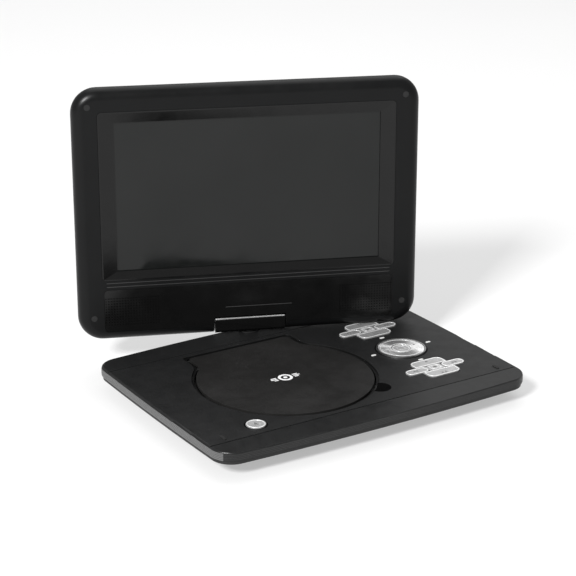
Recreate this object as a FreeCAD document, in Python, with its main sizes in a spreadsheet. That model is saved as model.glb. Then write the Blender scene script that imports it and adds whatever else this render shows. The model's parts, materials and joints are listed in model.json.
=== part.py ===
import FreeCAD, Part
import Sketcher
import math
import os
import re

# Portable disc player: a flat base that holds the drive, keys and battery, and a screen lid that
# swivels and tilts on one hinge at the back. Millimetres, +Z up, the base standing on z = 0 with its
# footprint centred on the origin and the keys' front edge towards -Y. The screen is swivelled a
# little, as it stands in use.

doc = FreeCAD.newDocument("portable_disc_player")
sheet = doc.addObject("Spreadsheet::Sheet", "Sizes")

SIZES = dict(
    # outer form of the base
    base_width=252, base_depth=186, base_corner=15.5, base_height=20,
    front_bow=3.5, rear_bow=4, side_bow=1.5,
    skirt_height=6.5, skirt_wall=2, top_wall=2, rim_round=1.8,
    front_strip=19.5, front_drop=1, rear_strip=24.4, groove_width=0.8, groove_depth=0.6,
    # bottom case
    lip_inset=1, lip_depth=2.7, lip_wall=1.5, tub_wall=1.8, tub_corner=14,
    tub_side=17, tub_front=24, tub_rear=12,
    foot_proud=1, foot_sunk=0.8, foot_size=6, foot_margin=10,
    boss_size=4, screw_shank=1.3, screw_head=2.6, screw_head_height=1.5,
    # drive door and the well under it
    door_x=-24.2, door_y=-4.2, door_radius=61.8, door_gap=1.4, door_wall=1.8, rebate_width=2, rebate_depth=1,
    neck_half=41.3, neck_reach=64.3, neck_fillet=15.7, neck_corner=3,
    door_axis_back=1.5, door_axis_down=1.7, lug_width=8.3, lug_depth=3.3, lug_drop=1.6,
    hinge_pin=0.75, hinge_pin_reach=4, door_boss=6, hinge_sweep=2.8,
    well_wall=1.5, well_floor=1.2, well_floor_top=13.6, disc_seat=14.8,
    latch_width=8, latch_thick=1.5, latch_length=19, latch_top=17.2, latch_nose=3,
    latch_gap=0.5, catch_width=6, catch_thick=1.2,
    # drive
    hub_radius=7.4, hub_height=1.9, hub_straight=1.2, table_radius=13, table_thick=1.6, hub_hole=16, spindle=1,
    motor_radius=12, motor_height=4.2,
    chassis_half=32, chassis_front=62.5, chassis_back=23, chassis_thick=1.2, chassis_top=10.4,
    post_x=28, post_back=18, post_front=58, post_size=3, damper_size=4, damper_height=1.2,
    sled_width=29, sled_length=16, sled_start=14.5, sled_height=5.6, sled_travel=31,
    rail_spacing=32, rail_size=1.5, rail_drop=3,
    lens_size=3.2, screw_offset=22.5, lead_size=1.2, feed_motor=3.2, feed_motor_length=11,
    # keys
    keys_x=74.6, nav_y=-3.9, rear_keys_y=38.5, front_keys_y=-44.9,
    key_block=26.7, key_block_depth=28.5, key_corner=5, key_proud=0.7, key_plate=1.6, key_gap=0.3,
    tab_reach=24.5, tab_start=6.4, tab_width=8.2, centre_key=9.2, key_stem=1.6, key_travel=0.7,
    nav_radius=16.6, nav_ring_width=1.0, ok_radius=6.8, nav_proud=0.7, nav_plate=2,
    mark_reach=24, mark_length=4, mark_width=2, mark_proud=0.2,
    open_x=-82.3, open_y=-60.3, open_radius=6.7,
    key_board_top=14.2, board_thick=1.2, dome_thick=0.4,
    bumper_x=111.3, bumper_y=-66.9, bumper_length=6.5, bumper_width=2, bumper_proud=0.6,
    scoop_x=22, scoop_y=-52.7, scoop_radius=8, scoop_depth=1.7,
    # electrics in the tub
    battery_wide=40, battery_long=58, battery_thick=5.4, cover_thick=1.6,
    main_board_low=5.4, main_board_thick=1.6, standoff=2.5,
    # sockets and the power switch on the right side
    socket_z=15.1, jack_bore=1.8, jack_collar=2.7, jack_long=11.5, jack_block=6.2, collar_long=4.4,
    dc_bore=2.1, dc_pin=0.65, dc_collar=2.8,
    dc_y=56, av_y=40, phones_y=24, phones_pitch=14, power_y=-14,
    knob_long=8, knob_tall=2.6, knob_proud=0.9, power_travel=3,
    # hinge
    hinge_inset=7.75, lid_gap=1, swivel_angle=-22, lean_angle=1.2,
    block_width=51.5, block_top=5, block_low=7, block_round=9.4,
    trim_low=3, trim_height=1.7, trim_thick=0.8,
    stub_radius=7.2, stub_rim=0.7, stub_neck=5.2, swivel_shaft=3.2,
    bush_wall=1.3, bush_flange=1, bush_flange_thick=1.6,
    tilt_shaft=2.5, tilt_shaft_reach=44, running_gap=0.05,
    retainer_radius=5.4, retainer_thick=1,
    # lid
    lid_width=250, lid_top=178.5, lid_thick=16, lid_corner=18.5, lid_round=7.9, lid_wall=2,
    lid_side_wall=4, notch_gap=0.4, notch_side_gap=0.75, tunnel_wall=2,
    bezel_half=107, bezel_low=38, bezel_high=162, bezel_thick=3, bezel_corner=3, bezel_slope=1.8,
    window_half=96, window_low=44.5, window_high=154, seam=0.25,
    glass_thick=1, glass_margin=2.5, panel_thick=4.4, panel_margin=5,
    strip_half=106, strip_low=-1, strip_high=31, strip_thick=1.6, strip_corner=3,
    speaker_x=85, speaker_v=15, speaker_wide=36, speaker_tall=20, speaker_deep=6,
    pad_x=113.7, pad_top_v=166, pad_low_v=10, pad_size=2.1, pad_thick=0.8, lid_screw=1,
)

# Places that follow from the sizes above.
DERIVED = dict(
    skirt_low="base_height - skirt_height",
    ceiling="base_height - top_wall",
    lip_low="base_height - skirt_height - lip_depth",
    rim_floor="base_height - skirt_height - lip_depth + lip_wall",
    tub_width="base_width - 2 * tub_side",
    tub_depth="base_depth - tub_front - tub_rear",
    tub_y="(tub_front - tub_rear) / 2",
    tub_floor="foot_proud + tub_wall",
    groove_front_y="-base_depth / 2 + front_strip",
    groove_rear_y="base_depth / 2 - rear_strip",
    well_radius="door_radius + door_gap + 0.4",
    door_axis_y="door_y + neck_reach - door_axis_back",
    door_axis_z="base_height - door_axis_down",
    rail_z="chassis_top - chassis_thick - rail_drop",
    chassis_low="chassis_top - chassis_thick",
    key_top="base_height + key_proud",
    hinge_y="base_depth / 2 - hinge_inset",
    hinge_rise="lid_thick / 2 + lid_gap",
    hinge_z="base_height + lid_thick / 2 + lid_gap",
    notch_radius="block_round + notch_gap",
    notch_half="block_width / 2 + notch_side_gap",
    lid_half="lid_thick / 2",
    bezel_v="(bezel_low + bezel_high) / 2",
    window_v="(window_low + window_high) / 2",
    lid_low="lid_thick / 2",
    bush_radius="swivel_shaft + bush_wall",
    socket_face="base_width / 2",
)


def linked(formula):
    """A formula of named sizes, written the way the document's expressions name them."""

    def name(word):
        if word[0] in SIZES:
            return "Sizes." + word[0]
        if word[0] in DERIVED:
            return "(" + linked(DERIVED[word[0]]) + ")"
        return word[0]

    return re.sub(r"[A-Za-z_][A-Za-z_0-9]*", name, str(formula))


def value(formula):
    return float(sheet.evalExpression("(" + linked(formula) + ") * 1"))


def bind(thing, **properties):
    """Ties properties to formulas; a double underscore in a name stands for a dot."""
    for name, formula in properties.items():
        thing.setExpression(name.replace("__", "."), linked(formula))


for row, (alias, number) in enumerate(SIZES.items(), 1):
    sheet.set("A%d" % row, alias)
    sheet.set("B%d" % row, str(number))
    sheet.setAlias("B%d" % row, alias)
doc.recompute()

parts = []


def keep(thing, label):
    """Marks an object as one sub-part of the player."""
    thing.Label = label
    if thing.Label != label:
        raise ValueError("the name " + label + " is taken")
    parts.append(thing)
    return thing


# ---------------------------------------------------------------- plain solids and booleans


def move(thing, x, y, z):
    bind(thing, Placement__Base__x=x, Placement__Base__y=y, Placement__Base__z=z)
    return thing


def box(name, x, y, z, length, width, height):
    """A block from its low corner."""
    block = doc.addObject("Part::Box", name)
    bind(block, Length=length, Width=width, Height=height)
    return move(block, x, y, z)


def mid_box(name, x, y, z, length, width, height):
    """A block centred on x, y that stands on z."""
    return box(name, f"({x}) - ({length}) / 2", f"({y}) - ({width}) / 2", z, length, width, height)


TURNS = {
    "z": FreeCAD.Rotation(),
    "x": FreeCAD.Rotation(FreeCAD.Vector(0, 1, 0), 90),
    "y": FreeCAD.Rotation(FreeCAD.Vector(1, 0, 0), -90),
}


def rod(name, x, y, z, radius, length, axis="z"):
    """A cylinder that starts at a point and runs along an axis."""
    bar = doc.addObject("Part::Cylinder", name)
    bind(bar, Radius=radius, Height=length)
    bar.Placement = FreeCAD.Placement(FreeCAD.Vector(), TURNS[axis])
    return move(bar, x, y, z)


def ring(name, x, y, z, inner, outer, height, axis="z"):
    return cut(name, rod(name + "_outside", x, y, z, outer, height, axis),
               rod(name + "_inside", x, y, z, inner, height, axis))


def cut(name, base, *tools):
    result = doc.addObject("Part::Cut", name)
    result.Base = base
    result.Tool = tools[0] if len(tools) == 1 else fuse(name + "_tools", *tools)
    return result


def fuse(name, *shapes):
    result = doc.addObject("Part::MultiFuse", name)
    result.Shapes = list(shapes)
    return result


def group(name, *shapes):
    """Separate solids of one kind, kept as one sub-part."""
    result = doc.addObject("Part::Compound", name)
    result.Links = list(shapes)
    return result


def common(name, *shapes):
    result = doc.addObject("Part::MultiCommon", name)
    result.Shapes = list(shapes)
    return result


# ---------------------------------------------------------------- sketched pieces


def arc(x, y, radius, start, end):
    """An anticlockwise arc, with its angles in degrees."""
    circle = Part.Circle(FreeCAD.Vector(x, y, 0), FreeCAD.Vector(0, 0, 1), radius)
    return Part.ArcOfCircle(circle, math.radians(start), math.radians(end))


def line(x1, y1, x2, y2):
    return Part.LineSegment(FreeCAD.Vector(x1, y1, 0), FreeCAD.Vector(x2, y2, 0))


def dimension(sketch, name, formula, kind, *where):
    index = sketch.addConstraint(Sketcher.Constraint(kind, *where, value(formula)))
    sketch.renameConstraint(index, name)
    sketch.setExpression("Constraints." + name, linked(formula))


def tie(sketch, kind, *where):
    sketch.addConstraint(Sketcher.Constraint(kind, *where))


def draw_circle(sketch, radius):
    sketch.addGeometry(Part.Circle(FreeCAD.Vector(), FreeCAD.Vector(0, 0, 1), value(radius)))
    tie(sketch, "Coincident", 0, 3, -1, 1)
    dimension(sketch, "reach", radius, "Radius", 0)


def draw_rectangle(sketch, width, depth):
    """A rectangle centred on the sketch's origin."""
    w, d = value(width) / 2, value(depth) / 2
    corners = [(-w, -d), (w, -d), (w, d), (-w, d)]
    for start, end in zip(corners, corners[1:] + corners[:1]):
        sketch.addGeometry(line(*start, *end))
    for side in range(4):
        tie(sketch, "Coincident", side, 2, (side + 1) % 4, 1)
        tie(sketch, "Vertical" if side % 2 else "Horizontal", side)
    tie(sketch, "Symmetric", 0, 1, 2, 1, -1, 1)
    dimension(sketch, "width", width, "DistanceX", 0, 1, 0, 2)
    dimension(sketch, "depth", depth, "DistanceY", 1, 1, 1, 2)


def draw_rounded(sketch, width, depth, corner):
    """A rectangle with round corners, centred on the sketch's origin."""
    w, d, r = value(width) / 2, value(depth) / 2, value(corner)
    sketch.addGeometry(line(r - w, -d, w - r, -d))
    sketch.addGeometry(line(w, r - d, w, d - r))
    sketch.addGeometry(line(w - r, d, r - w, d))
    sketch.addGeometry(line(-w, d - r, -w, r - d))
    for turn, (x, y) in enumerate([(w - r, r - d), (w - r, d - r), (r - w, d - r), (r - w, r - d)]):
        sketch.addGeometry(arc(x, y, r, 90 * turn - 90, 90 * turn))
    for side in range(4):
        tie(sketch, "Tangent", side, 2, side + 4, 1)
        tie(sketch, "Tangent", side + 4, 2, (side + 1) % 4, 1)
        tie(sketch, "Vertical" if side % 2 else "Horizontal", side)
    for side in range(3):
        tie(sketch, "Equal", side + 4, side + 5)
    tie(sketch, "Symmetric", 4, 3, 6, 3, -1, 1)
    dimension(sketch, "corner", corner, "Radius", 4)
    dimension(sketch, "width", width, "DistanceX", 3, 1, 1, 1)
    dimension(sketch, "depth", depth, "DistanceY", 0, 1, 2, 1)


def draw_slot(sketch, length, width):
    """A round-ended slot along the sketch's X."""
    half, r = (value(length) - value(width)) / 2, value(width) / 2
    sketch.addGeometry(line(-half, -r, half, -r))
    sketch.addGeometry(arc(half, 0, r, -90, 90))
    sketch.addGeometry(line(half, r, -half, r))
    sketch.addGeometry(arc(-half, 0, r, 90, 270))
    for side in range(4):
        tie(sketch, "Tangent", side, 2, (side + 1) % 4, 1)
    tie(sketch, "Horizontal", 0)
    tie(sketch, "Symmetric", 1, 3, 3, 3, -1, 1)
    dimension(sketch, "half_width", f"({width}) / 2", "Radius", 1)
    dimension(sketch, "straight", f"({length}) - ({width})", "DistanceX", 0, 1, 0, 2)


def draw_bowed(sketch, inset):
    """The base's outline: four sides that bow outward, with round corners."""
    half_w, half_d = value("base_width / 2"), value("base_depth / 2")
    bows = [("front", half_w, half_d, "front_bow", "base_width"),
            ("right", half_d, half_w, "side_bow", "base_depth"),
            ("rear", half_w, half_d, "rear_bow", "base_width"),
            ("left", half_d, half_w, "side_bow", "base_depth")]
    corner = value(f"base_corner - ({inset})")
    circles = []
    for turn, (side, half_length, reach, bow, span) in enumerate(bows):
        radius = (half_length ** 2 + value(bow) ** 2) / (2 * value(bow))
        angle = math.radians(90 * turn - 90)
        offset = reach - radius
        circles.append((math.cos(angle) * offset, math.sin(angle) * offset, radius - value(inset)))
    centres = []
    for turn in range(4):
        (ax, ay, ar), (bx, by, br) = circles[turn], circles[(turn + 1) % 4]
        centres.append(nearest_crossing(ax, ay, ar - corner, bx, by, br - corner, turn))
    for turn, (cx, cy, radius) in enumerate(circles):
        before, after = centres[turn - 1], centres[turn]
        start = math.degrees(math.atan2(before[1] - cy, before[0] - cx))
        end = math.degrees(math.atan2(after[1] - cy, after[0] - cx))
        sketch.addGeometry(arc(cx, cy, radius, start, end))
    for turn, (x, y) in enumerate(centres):
        ends = []
        for cx, cy, radius in (circles[turn], circles[(turn + 1) % 4]):
            ends.append(math.degrees(math.atan2(y - cy, x - cx)))
        sketch.addGeometry(arc(x, y, corner, ends[0], ends[1]))
    for turn in range(4):
        tie(sketch, "Tangent", turn, 2, turn + 4, 1)
        tie(sketch, "Tangent", turn + 4, 2, (turn + 1) % 4, 1)
        dimension(sketch, "corner%d" % turn, f"base_corner - ({inset})", "Radius", turn + 4)
    for turn, (side, half_length, reach, bow, span) in enumerate(bows):
        radius = f"(({span} / 2) ^ 2 + {bow} ^ 2) / (2 * {bow})"
        extent = "base_depth / 2" if span == "base_width" else "base_width / 2"
        ends = (-1, 1, turn, 3) if turn in (0, 3) else (turn, 3, -1, 1)
        dimension(sketch, side + "_radius", f"{radius} - ({inset})", "Radius", turn)
        dimension(sketch, side + "_reach", f"{radius} - {extent}",
                  "DistanceX" if turn % 2 else "DistanceY", *ends)
        tie(sketch, "PointOnObject", turn, 3, -1 if turn % 2 else -2)


def nearest_crossing(ax, ay, ar, bx, by, br, turn):
    """Where two circles cross, on the side of the given corner of the base."""
    gap = math.hypot(bx - ax, by - ay)
    along = (gap * gap + ar * ar - br * br) / (2 * gap)
    aside = math.sqrt(ar * ar - along * along)
    ux, uy = (bx - ax) / gap, (by - ay) / gap
    sign_x, sign_y = [(1, -1), (1, 1), (-1, 1), (-1, -1)][turn]
    both = [(ax + ux * along - uy * s * aside, ay + uy * along + ux * s * aside) for s in (1, -1)]
    return max(both, key=lambda p: p[0] * sign_x + p[1] * sign_y)


def draw_door(sketch, grow):
    """The drive door's outline about its disc centre: a circle with a neck at the back."""
    radius, half = f"door_radius + {grow}", f"neck_half + {grow}"
    reach, fillet = f"neck_reach + {grow}", f"neck_fillet - {grow}"
    big, h, y, q, c = value(radius), value(half), value(reach), value(fillet), value("neck_corner")
    fx = h + q
    fy = math.sqrt((big + q) ** 2 - fx ** 2)
    lean = math.degrees(math.atan2(fy, fx))
    sketch.addGeometry(arc(0, 0, big, 180 - lean, 360 + lean))
    sketch.addGeometry(arc(fx, fy, q, 180, 180 + lean))
    sketch.addGeometry(line(h, fy, h, y - c))
    sketch.addGeometry(arc(h - c, y - c, c, 0, 90))
    sketch.addGeometry(line(h - c, y, c - h, y))
    sketch.addGeometry(arc(c - h, y - c, c, 90, 180))
    sketch.addGeometry(line(-h, y - c, -h, fy))
    sketch.addGeometry(arc(-fx, fy, q, -lean, 0))
    # each fillet runs the other way round, so its ends meet in reverse
    joins = [(0, 2, 1, 2), (1, 1, 2, 1), (2, 2, 3, 1), (3, 2, 4, 1),
             (4, 2, 5, 1), (5, 2, 6, 1), (6, 2, 7, 2), (7, 1, 0, 1)]
    for join in joins:
        tie(sketch, "Tangent", *join)
    tie(sketch, "Vertical", 2)
    tie(sketch, "Vertical", 6)
    tie(sketch, "Horizontal", 4)
    tie(sketch, "Coincident", 0, 3, -1, 1)
    dimension(sketch, "round", radius, "Radius", 0)
    for name, index in (("fillet_right", 1), ("fillet_left", 7)):
        dimension(sketch, name, fillet, "Radius", index)
    for name, index in (("corner_right", 3), ("corner_left", 5)):
        dimension(sketch, name, "neck_corner", "Radius", index)
    dimension(sketch, "neck_right", half, "DistanceX", -1, 1, 2, 1)
    dimension(sketch, "neck_left", half, "DistanceX", 6, 1, -1, 1)
    dimension(sketch, "back", reach, "DistanceY", -1, 1, 4, 1)


class Piece:
    """A moulded or pressed piece: a body with sketches, pads, pockets and fillets.

    The piece is sketched either flat, as seen from above, or upright, as the lid is seen from the
    front; height then runs towards the viewer."""

    def __init__(self, name, upright=False):
        self.body = doc.addObject("PartDesign::Body", name)
        role = "XZ_Plane" if upright else "XY_Plane"
        self.plane = next(o for o in self.body.Origin.OriginFeatures if o.Role == role)

    def sketch(self, x, y, height, draw, *sizes):
        sketch = self.body.newObject("Sketcher::SketchObject", self.body.Name + "_sketch")
        sketch.AttachmentSupport = (self.plane, [""])
        sketch.MapMode = "FlatFace"
        bind(sketch, AttachmentOffset__Base__x=x, AttachmentOffset__Base__y=y,
             AttachmentOffset__Base__z=height)
        draw(sketch, *sizes)
        return sketch

    def pad(self, x, y, low, height, draw, *sizes):
        feature = self.body.newObject("PartDesign::Pad", self.body.Name + "_pad")
        feature.Profile = self.sketch(x, y, low, draw, *sizes)
        bind(feature, Length=height)
        return self.settle(feature, 1)

    def pocket(self, x, y, low, height, draw, *sizes):
        """Removes a region that stands on low and is height tall."""
        feature = self.body.newObject("PartDesign::Pocket", self.body.Name + "_pocket")
        feature.Profile = self.sketch(x, y, low, draw, *sizes)
        feature.Reversed = True
        bind(feature, Length=height)
        return self.settle(feature, -1)

    def fillet(self, radius, pick, kind="Fillet"):
        """Rounds (or chamfers) the edges that pick accepts."""
        base = self.body.Tip
        names = ["Edge%d" % i for i, edge in enumerate(base.Shape.Edges, 1) if pick(edge)]
        if not names:
            raise ValueError(self.body.Name + ": no edge to round")
        feature = self.body.newObject("PartDesign::" + kind, self.body.Name + "_round")
        feature.Base = (base, names)
        bind(feature, **{"Radius" if kind == "Fillet" else "Size": radius})
        return self.settle(feature, 0)

    def settle(self, feature, grows):
        """Recomputes the body and makes sure that the feature did what it should."""
        before = getattr(self, "volume", 0)
        doc.recompute()
        self.volume = feature.Shape.Volume
        if grows * (self.volume - before) < 0 or self.volume == before:
            raise ValueError(feature.Name + " changed nothing")
        return self


def spans(edge, axis, low, high):
    """Does an edge's box lie between two heights along an axis?"""
    bounds = edge.BoundBox
    start, end = getattr(bounds, axis + "Min"), getattr(bounds, axis + "Max")
    return start > low - 0.01 and end < high + 0.01


def plate(name, x, y, low, height, draw, *sizes, upright=False):
    return Piece(name, upright).pad(x, y, low, height, draw, *sizes).body


# ---------------------------------------------------------------- top case and bottom case

JACKS = ["av_y", "phones_y", "phones_y - phones_pitch"]
SOCKETS = [("dc_y", "dc_collar")] + [(y, "jack_collar") for y in JACKS]
CASE_SCREWS = [("base_width / 2 - 13", "base_depth / 2 - 17"),
               ("13 - base_width / 2", "base_depth / 2 - 17"),
               ("base_width / 2 - 13", "17 - base_depth / 2"),
               ("13 - base_width / 2", "17 - base_depth / 2"),
               ("45", "10.5 - base_depth / 2"),
               ("-45", "10.5 - base_depth / 2")]


def key_openings(case, y):
    """One opening per key block: a rounded square crossed by the slot of the two side keys."""
    block = ("key_block + 2 * key_gap", "key_block_depth + 2 * key_gap", "key_corner + key_gap")
    case.pocket("keys_x", y, "ceiling - 1", "top_wall + 2", draw_rounded, *block)
    slot = ("2 * (tab_reach + key_gap)", "tab_width + 2 * key_gap")
    case.pocket("keys_x", y, "ceiling - 1", "top_wall + 2", draw_slot, *slot)


def top_case():
    case = Piece("top_case_shell")
    case.pad("0", "0", "skirt_low", "skirt_height", draw_bowed, "0")
    top = value("base_height")
    case.fillet("rim_round", lambda edge: spans(edge, "Z", top, top))
    case.pocket("0", "0", "skirt_low", "skirt_height - top_wall", draw_bowed, "skirt_wall")
    case.pocket("door_x", "door_y", "ceiling - 1", "top_wall + 2", draw_door, "door_gap")
    case.pocket("door_x", "door_y", "base_height - rebate_depth", "rebate_depth + 1", draw_door,
                "door_gap + rebate_width")
    for y in ("rear_keys_y", "front_keys_y"):
        key_openings(case, y)
    case.pocket("keys_x", "nav_y", "ceiling - 1", "top_wall + 2", draw_circle,
                "nav_radius + key_gap + nav_ring_width")
    case.pocket("open_x", "open_y", "ceiling - 1", "top_wall + 2", draw_circle,
                "open_radius + key_gap")
    case.pocket("0", "hinge_y", "ceiling - 1", "top_wall + 2", draw_circle, "bush_radius")
    for y in ("groove_front_y", "groove_rear_y"):
        case.pocket("0", y, "base_height - groove_depth", "groove_depth + 1", draw_rectangle,
                    "base_width - 3", "groove_width")
    for side in (1, -1):
        case.pocket(f"{side} * bumper_x", "bumper_y", "base_height - 1", "2", draw_rounded,
                    "bumper_width", "bumper_length", "bumper_width * 0.49")
    for turn in range(4):
        x = f"keys_x + mark_reach * {round(math.cos(math.radians(90 * turn)))}"
        y = f"nav_y + mark_reach * {round(math.sin(math.radians(90 * turn)))}"
        case.pocket(x, y, "base_height - 1", "2", draw_slot, "mark_length", "mark_width")

    slope = doc.addObject("Part::Wedge", "front_slope")
    bind(slope, Xmin="-base_width", Xmax="base_width", X2min="-base_width", X2max="base_width",
         Ymin="-base_depth / 2 - 1", Ymax="groove_front_y",
         Zmin="base_height - front_drop", Zmax="base_height + 4",
         Z2min="base_height", Z2max="base_height + 4")
    scoop = doc.addObject("Part::Sphere", "scoop")
    bind(scoop, Radius="(scoop_radius ^ 2 + scoop_depth ^ 2) / (2 * scoop_depth)")
    move(scoop, "scoop_x", "scoop_y",
         "base_height - scoop_depth + (scoop_radius ^ 2 + scoop_depth ^ 2) / (2 * scoop_depth)")
    bosses = [rod("top_boss", x, y, "skirt_low + 0.5", "boss_size", "ceiling - skirt_low - 0.5")
              for x, y in CASE_SCREWS]
    holes = [rod("top_boss_hole", x, y, "skirt_low", "screw_shank", "3.6") for x, y in CASE_SCREWS]
    for side in (1, -1):
        inner = "neck_half + door_gap"
        x = f"door_x + {inner}" if side > 0 else f"door_x - ({inner}) - door_boss"
        bosses.append(box("door_pin_boss", x, "door_axis_y - 3.2", "door_axis_z - 3",
                          "door_boss", "6.4", "ceiling - door_axis_z + 3.4"))
        start = f"door_x + {inner} - 1" if side > 0 else f"door_x - ({inner}) - door_boss + 1"
        holes.append(rod("door_pin_hole", start, "door_axis_y", "door_axis_z",
                         "hinge_pin + running_gap", "door_boss", "x"))
    for y, size in SOCKETS:
        holes.append(rod("socket_hole", "socket_face - 6", y, "socket_z",
                         f"{size} + running_gap", "8", "x"))
    holes.append(mid_box("power_slot", "socket_face", "power_y",
                         "socket_z - knob_tall / 2 - key_gap", "8",
                         "knob_long + power_travel + 2 * key_gap", "knob_tall + 2 * key_gap"))
    solid = fuse("top_case_with_bosses", case.body, *bosses)
    keep(cut("top_case", solid, slope, scoop, *holes), "top_case")


FEET = [(f"{sx} * (tub_width / 2 - foot_margin)", f"tub_y + {sy} * (tub_depth / 2 - foot_margin)")
        for sx in (1, -1) for sy in (1, -1)]
POSTS = [(f"door_x + {sx} * post_x", y) for sx in (1, -1)
         for y in ("door_y + post_back", "door_y - post_front")]
BATTERY_X = "-tub_width / 2 + tub_wall + 1 + battery_wide / 2"
BOARD_LOW_X = "door_x + chassis_half + 6"
BOARD_HIGH_X = "tub_width / 2 - tub_wall - 2"
BOARD_LOW_Y = "tub_y - tub_depth / 2 + tub_wall + 3"
BOARD_HIGH_Y = "tub_y + tub_depth / 2 - tub_wall - 3"
BOARD_POSTS = [(x, y) for x in (f"{BOARD_LOW_X} + 5", f"{BOARD_HIGH_X} - 5")
               for y in (f"{BOARD_LOW_Y} + 5", f"{BOARD_HIGH_Y} - 5")]


def bottom_case():
    case = Piece("bottom_case_shell")
    case.pad("0", "0", "lip_low", "lip_depth", draw_bowed, "lip_inset")
    case.pad("0", "tub_y", "foot_proud", "lip_low - foot_proud + 0.5", draw_rounded,
             "tub_width", "tub_depth", "tub_corner")
    low = value("foot_proud")
    case.fillet("tub_wall", lambda edge: spans(edge, "Z", low, low))
    case.pocket("0", "0", "rim_floor", "lip_depth", draw_bowed, "lip_inset + lip_wall")
    case.pocket("0", "tub_y", "tub_floor", "lip_depth + lip_low", draw_rounded,
                "tub_width - 2 * tub_wall", "tub_depth - 2 * tub_wall", "tub_corner - tub_wall")
    case.pocket(BATTERY_X, "tub_y", "foot_proud - 1", "tub_wall + 2", draw_rounded,
                "battery_wide - 4", "2 * battery_long - 4", "3")
    posts = [rod("drive_post", x, y, "tub_floor", "post_size",
                 "chassis_low - damper_height - tub_floor") for x, y in POSTS]
    posts += [rod("board_post", x, y, "tub_floor", "standoff", "main_board_low - tub_floor")
              for x, y in BOARD_POSTS]
    posts += [rod("case_boss", x, y, "lip_low", "boss_size", "skirt_low + 0.5 - lip_low")
              for x, y in CASE_SCREWS]
    holes = [rod("case_hole", x, y, "lip_low - 1", "screw_shank + 0.2", "6") for x, y in CASE_SCREWS]
    holes += [rod("case_head_hole", x, y, "lip_low - 1", "screw_head + 0.2", "screw_head_height + 1")
              for x, y in CASE_SCREWS]
    holes += [rod("foot_recess", x, y, "foot_proud - 1", "foot_size + 0.1", "foot_sunk + 1")
              for x, y in FEET]
    holes += [rod("post_hole", x, y, "tub_floor", "screw_shank - 0.1", "8") for x, y in POSTS]
    for y, size in SOCKETS:
        holes.append(mid_box("socket_gap", "socket_face - 5", y, "rim_floor", "12",
                             f"2 * {size} + 1", "lip_depth"))
    holes.append(mid_box("power_gap", "socket_face - 5", "power_y", "rim_floor", "12",
                         "knob_long + power_travel + 2", "lip_depth"))
    solid = fuse("bottom_case_with_posts", case.body, *posts)
    keep(cut("bottom_case", solid, *holes), "bottom_case")

    feet = [rod("foot", x, y, "0", "foot_size", "foot_proud + foot_sunk") for x, y in FEET]
    keep(group("rubber_feet", *feet), "rubber_feet")
    screws = []
    for x, y in CASE_SCREWS:
        head = rod("screw_head", x, y, "lip_low + 0.1", "screw_head", "screw_head_height - 0.1")
        shank = rod("screw_shank", x, y, "lip_low", "screw_shank", "skirt_low + 3.4 - lip_low")
        screws.append(fuse("case_screw", head, shank))
    keep(group("case_screws", *screws), "case_screws")


def battery():
    cover = Piece("battery_cover")
    cover.pad(BATTERY_X, "tub_y", "foot_proud", "cover_thick", draw_rounded,
              "battery_wide - 4.4", "2 * battery_long - 4.4", "2.8")
    cover.pocket(BATTERY_X, "tub_y - battery_long + 8", "foot_proud - 0.4", "1", draw_slot,
                 "14", "5")
    keep(cover.body, "battery_cover")
    cells = [mid_box("battery_cell", BATTERY_X, f"tub_y + {side} * battery_long / 2",
                     "tub_floor + 0.1", "battery_wide - 1", "battery_long - 1", "battery_thick")
             for side in (1, -1)]
    keep(group("battery_cells", *cells), "battery_cells")


# ---------------------------------------------------------------- drive door, well and mechanism


def disc_door():
    door = Piece("door_plate")
    door.pad("door_x", "door_y", "base_height - door_wall", "door_wall", draw_door, "0")
    lugs = []
    holes = []
    for side in (1, -1):
        x = "door_x + neck_half - lug_width" if side > 0 else "door_x - neck_half"
        lugs.append(box("door_lug", x, "door_axis_y - lug_depth / 2 - 0.1",
                        "base_height - door_wall - lug_drop", "lug_width", "lug_depth", "lug_drop"))
        start = "door_x + neck_half - hinge_pin_reach" if side > 0 else "door_x - neck_half"
        holes.append(rod("door_pin_seat", start, "door_axis_y", "door_axis_z", "hinge_pin",
                         "hinge_pin_reach", "x"))
    catch = box("door_catch", "0", "0", "0", "catch_thick", "catch_width", "lug_drop + 0.1")
    catch_place = beside_door(group("catch_place", catch), "door_radius - catch_thick - 0.2",
                              "catch_width / 2", "base_height - door_wall - lug_drop")
    solid = fuse("door_with_lugs", door.body, catch_place, *lugs)
    keep(cut("disc_door", solid, *holes), "disc_door")
    pins = []
    for side in (1, -1):
        reach = "hinge_pin_reach + door_gap + hinge_pin_reach"
        start = "door_x + neck_half - hinge_pin_reach"
        if side < 0:
            start = "door_x - neck_half - door_gap - hinge_pin_reach"
        pins.append(rod("door_pin", start, "door_axis_y", "door_axis_z", "hinge_pin", reach, "x"))
    keep(group("door_hinge_pins", *pins), "door_hinge_pins")


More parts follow.
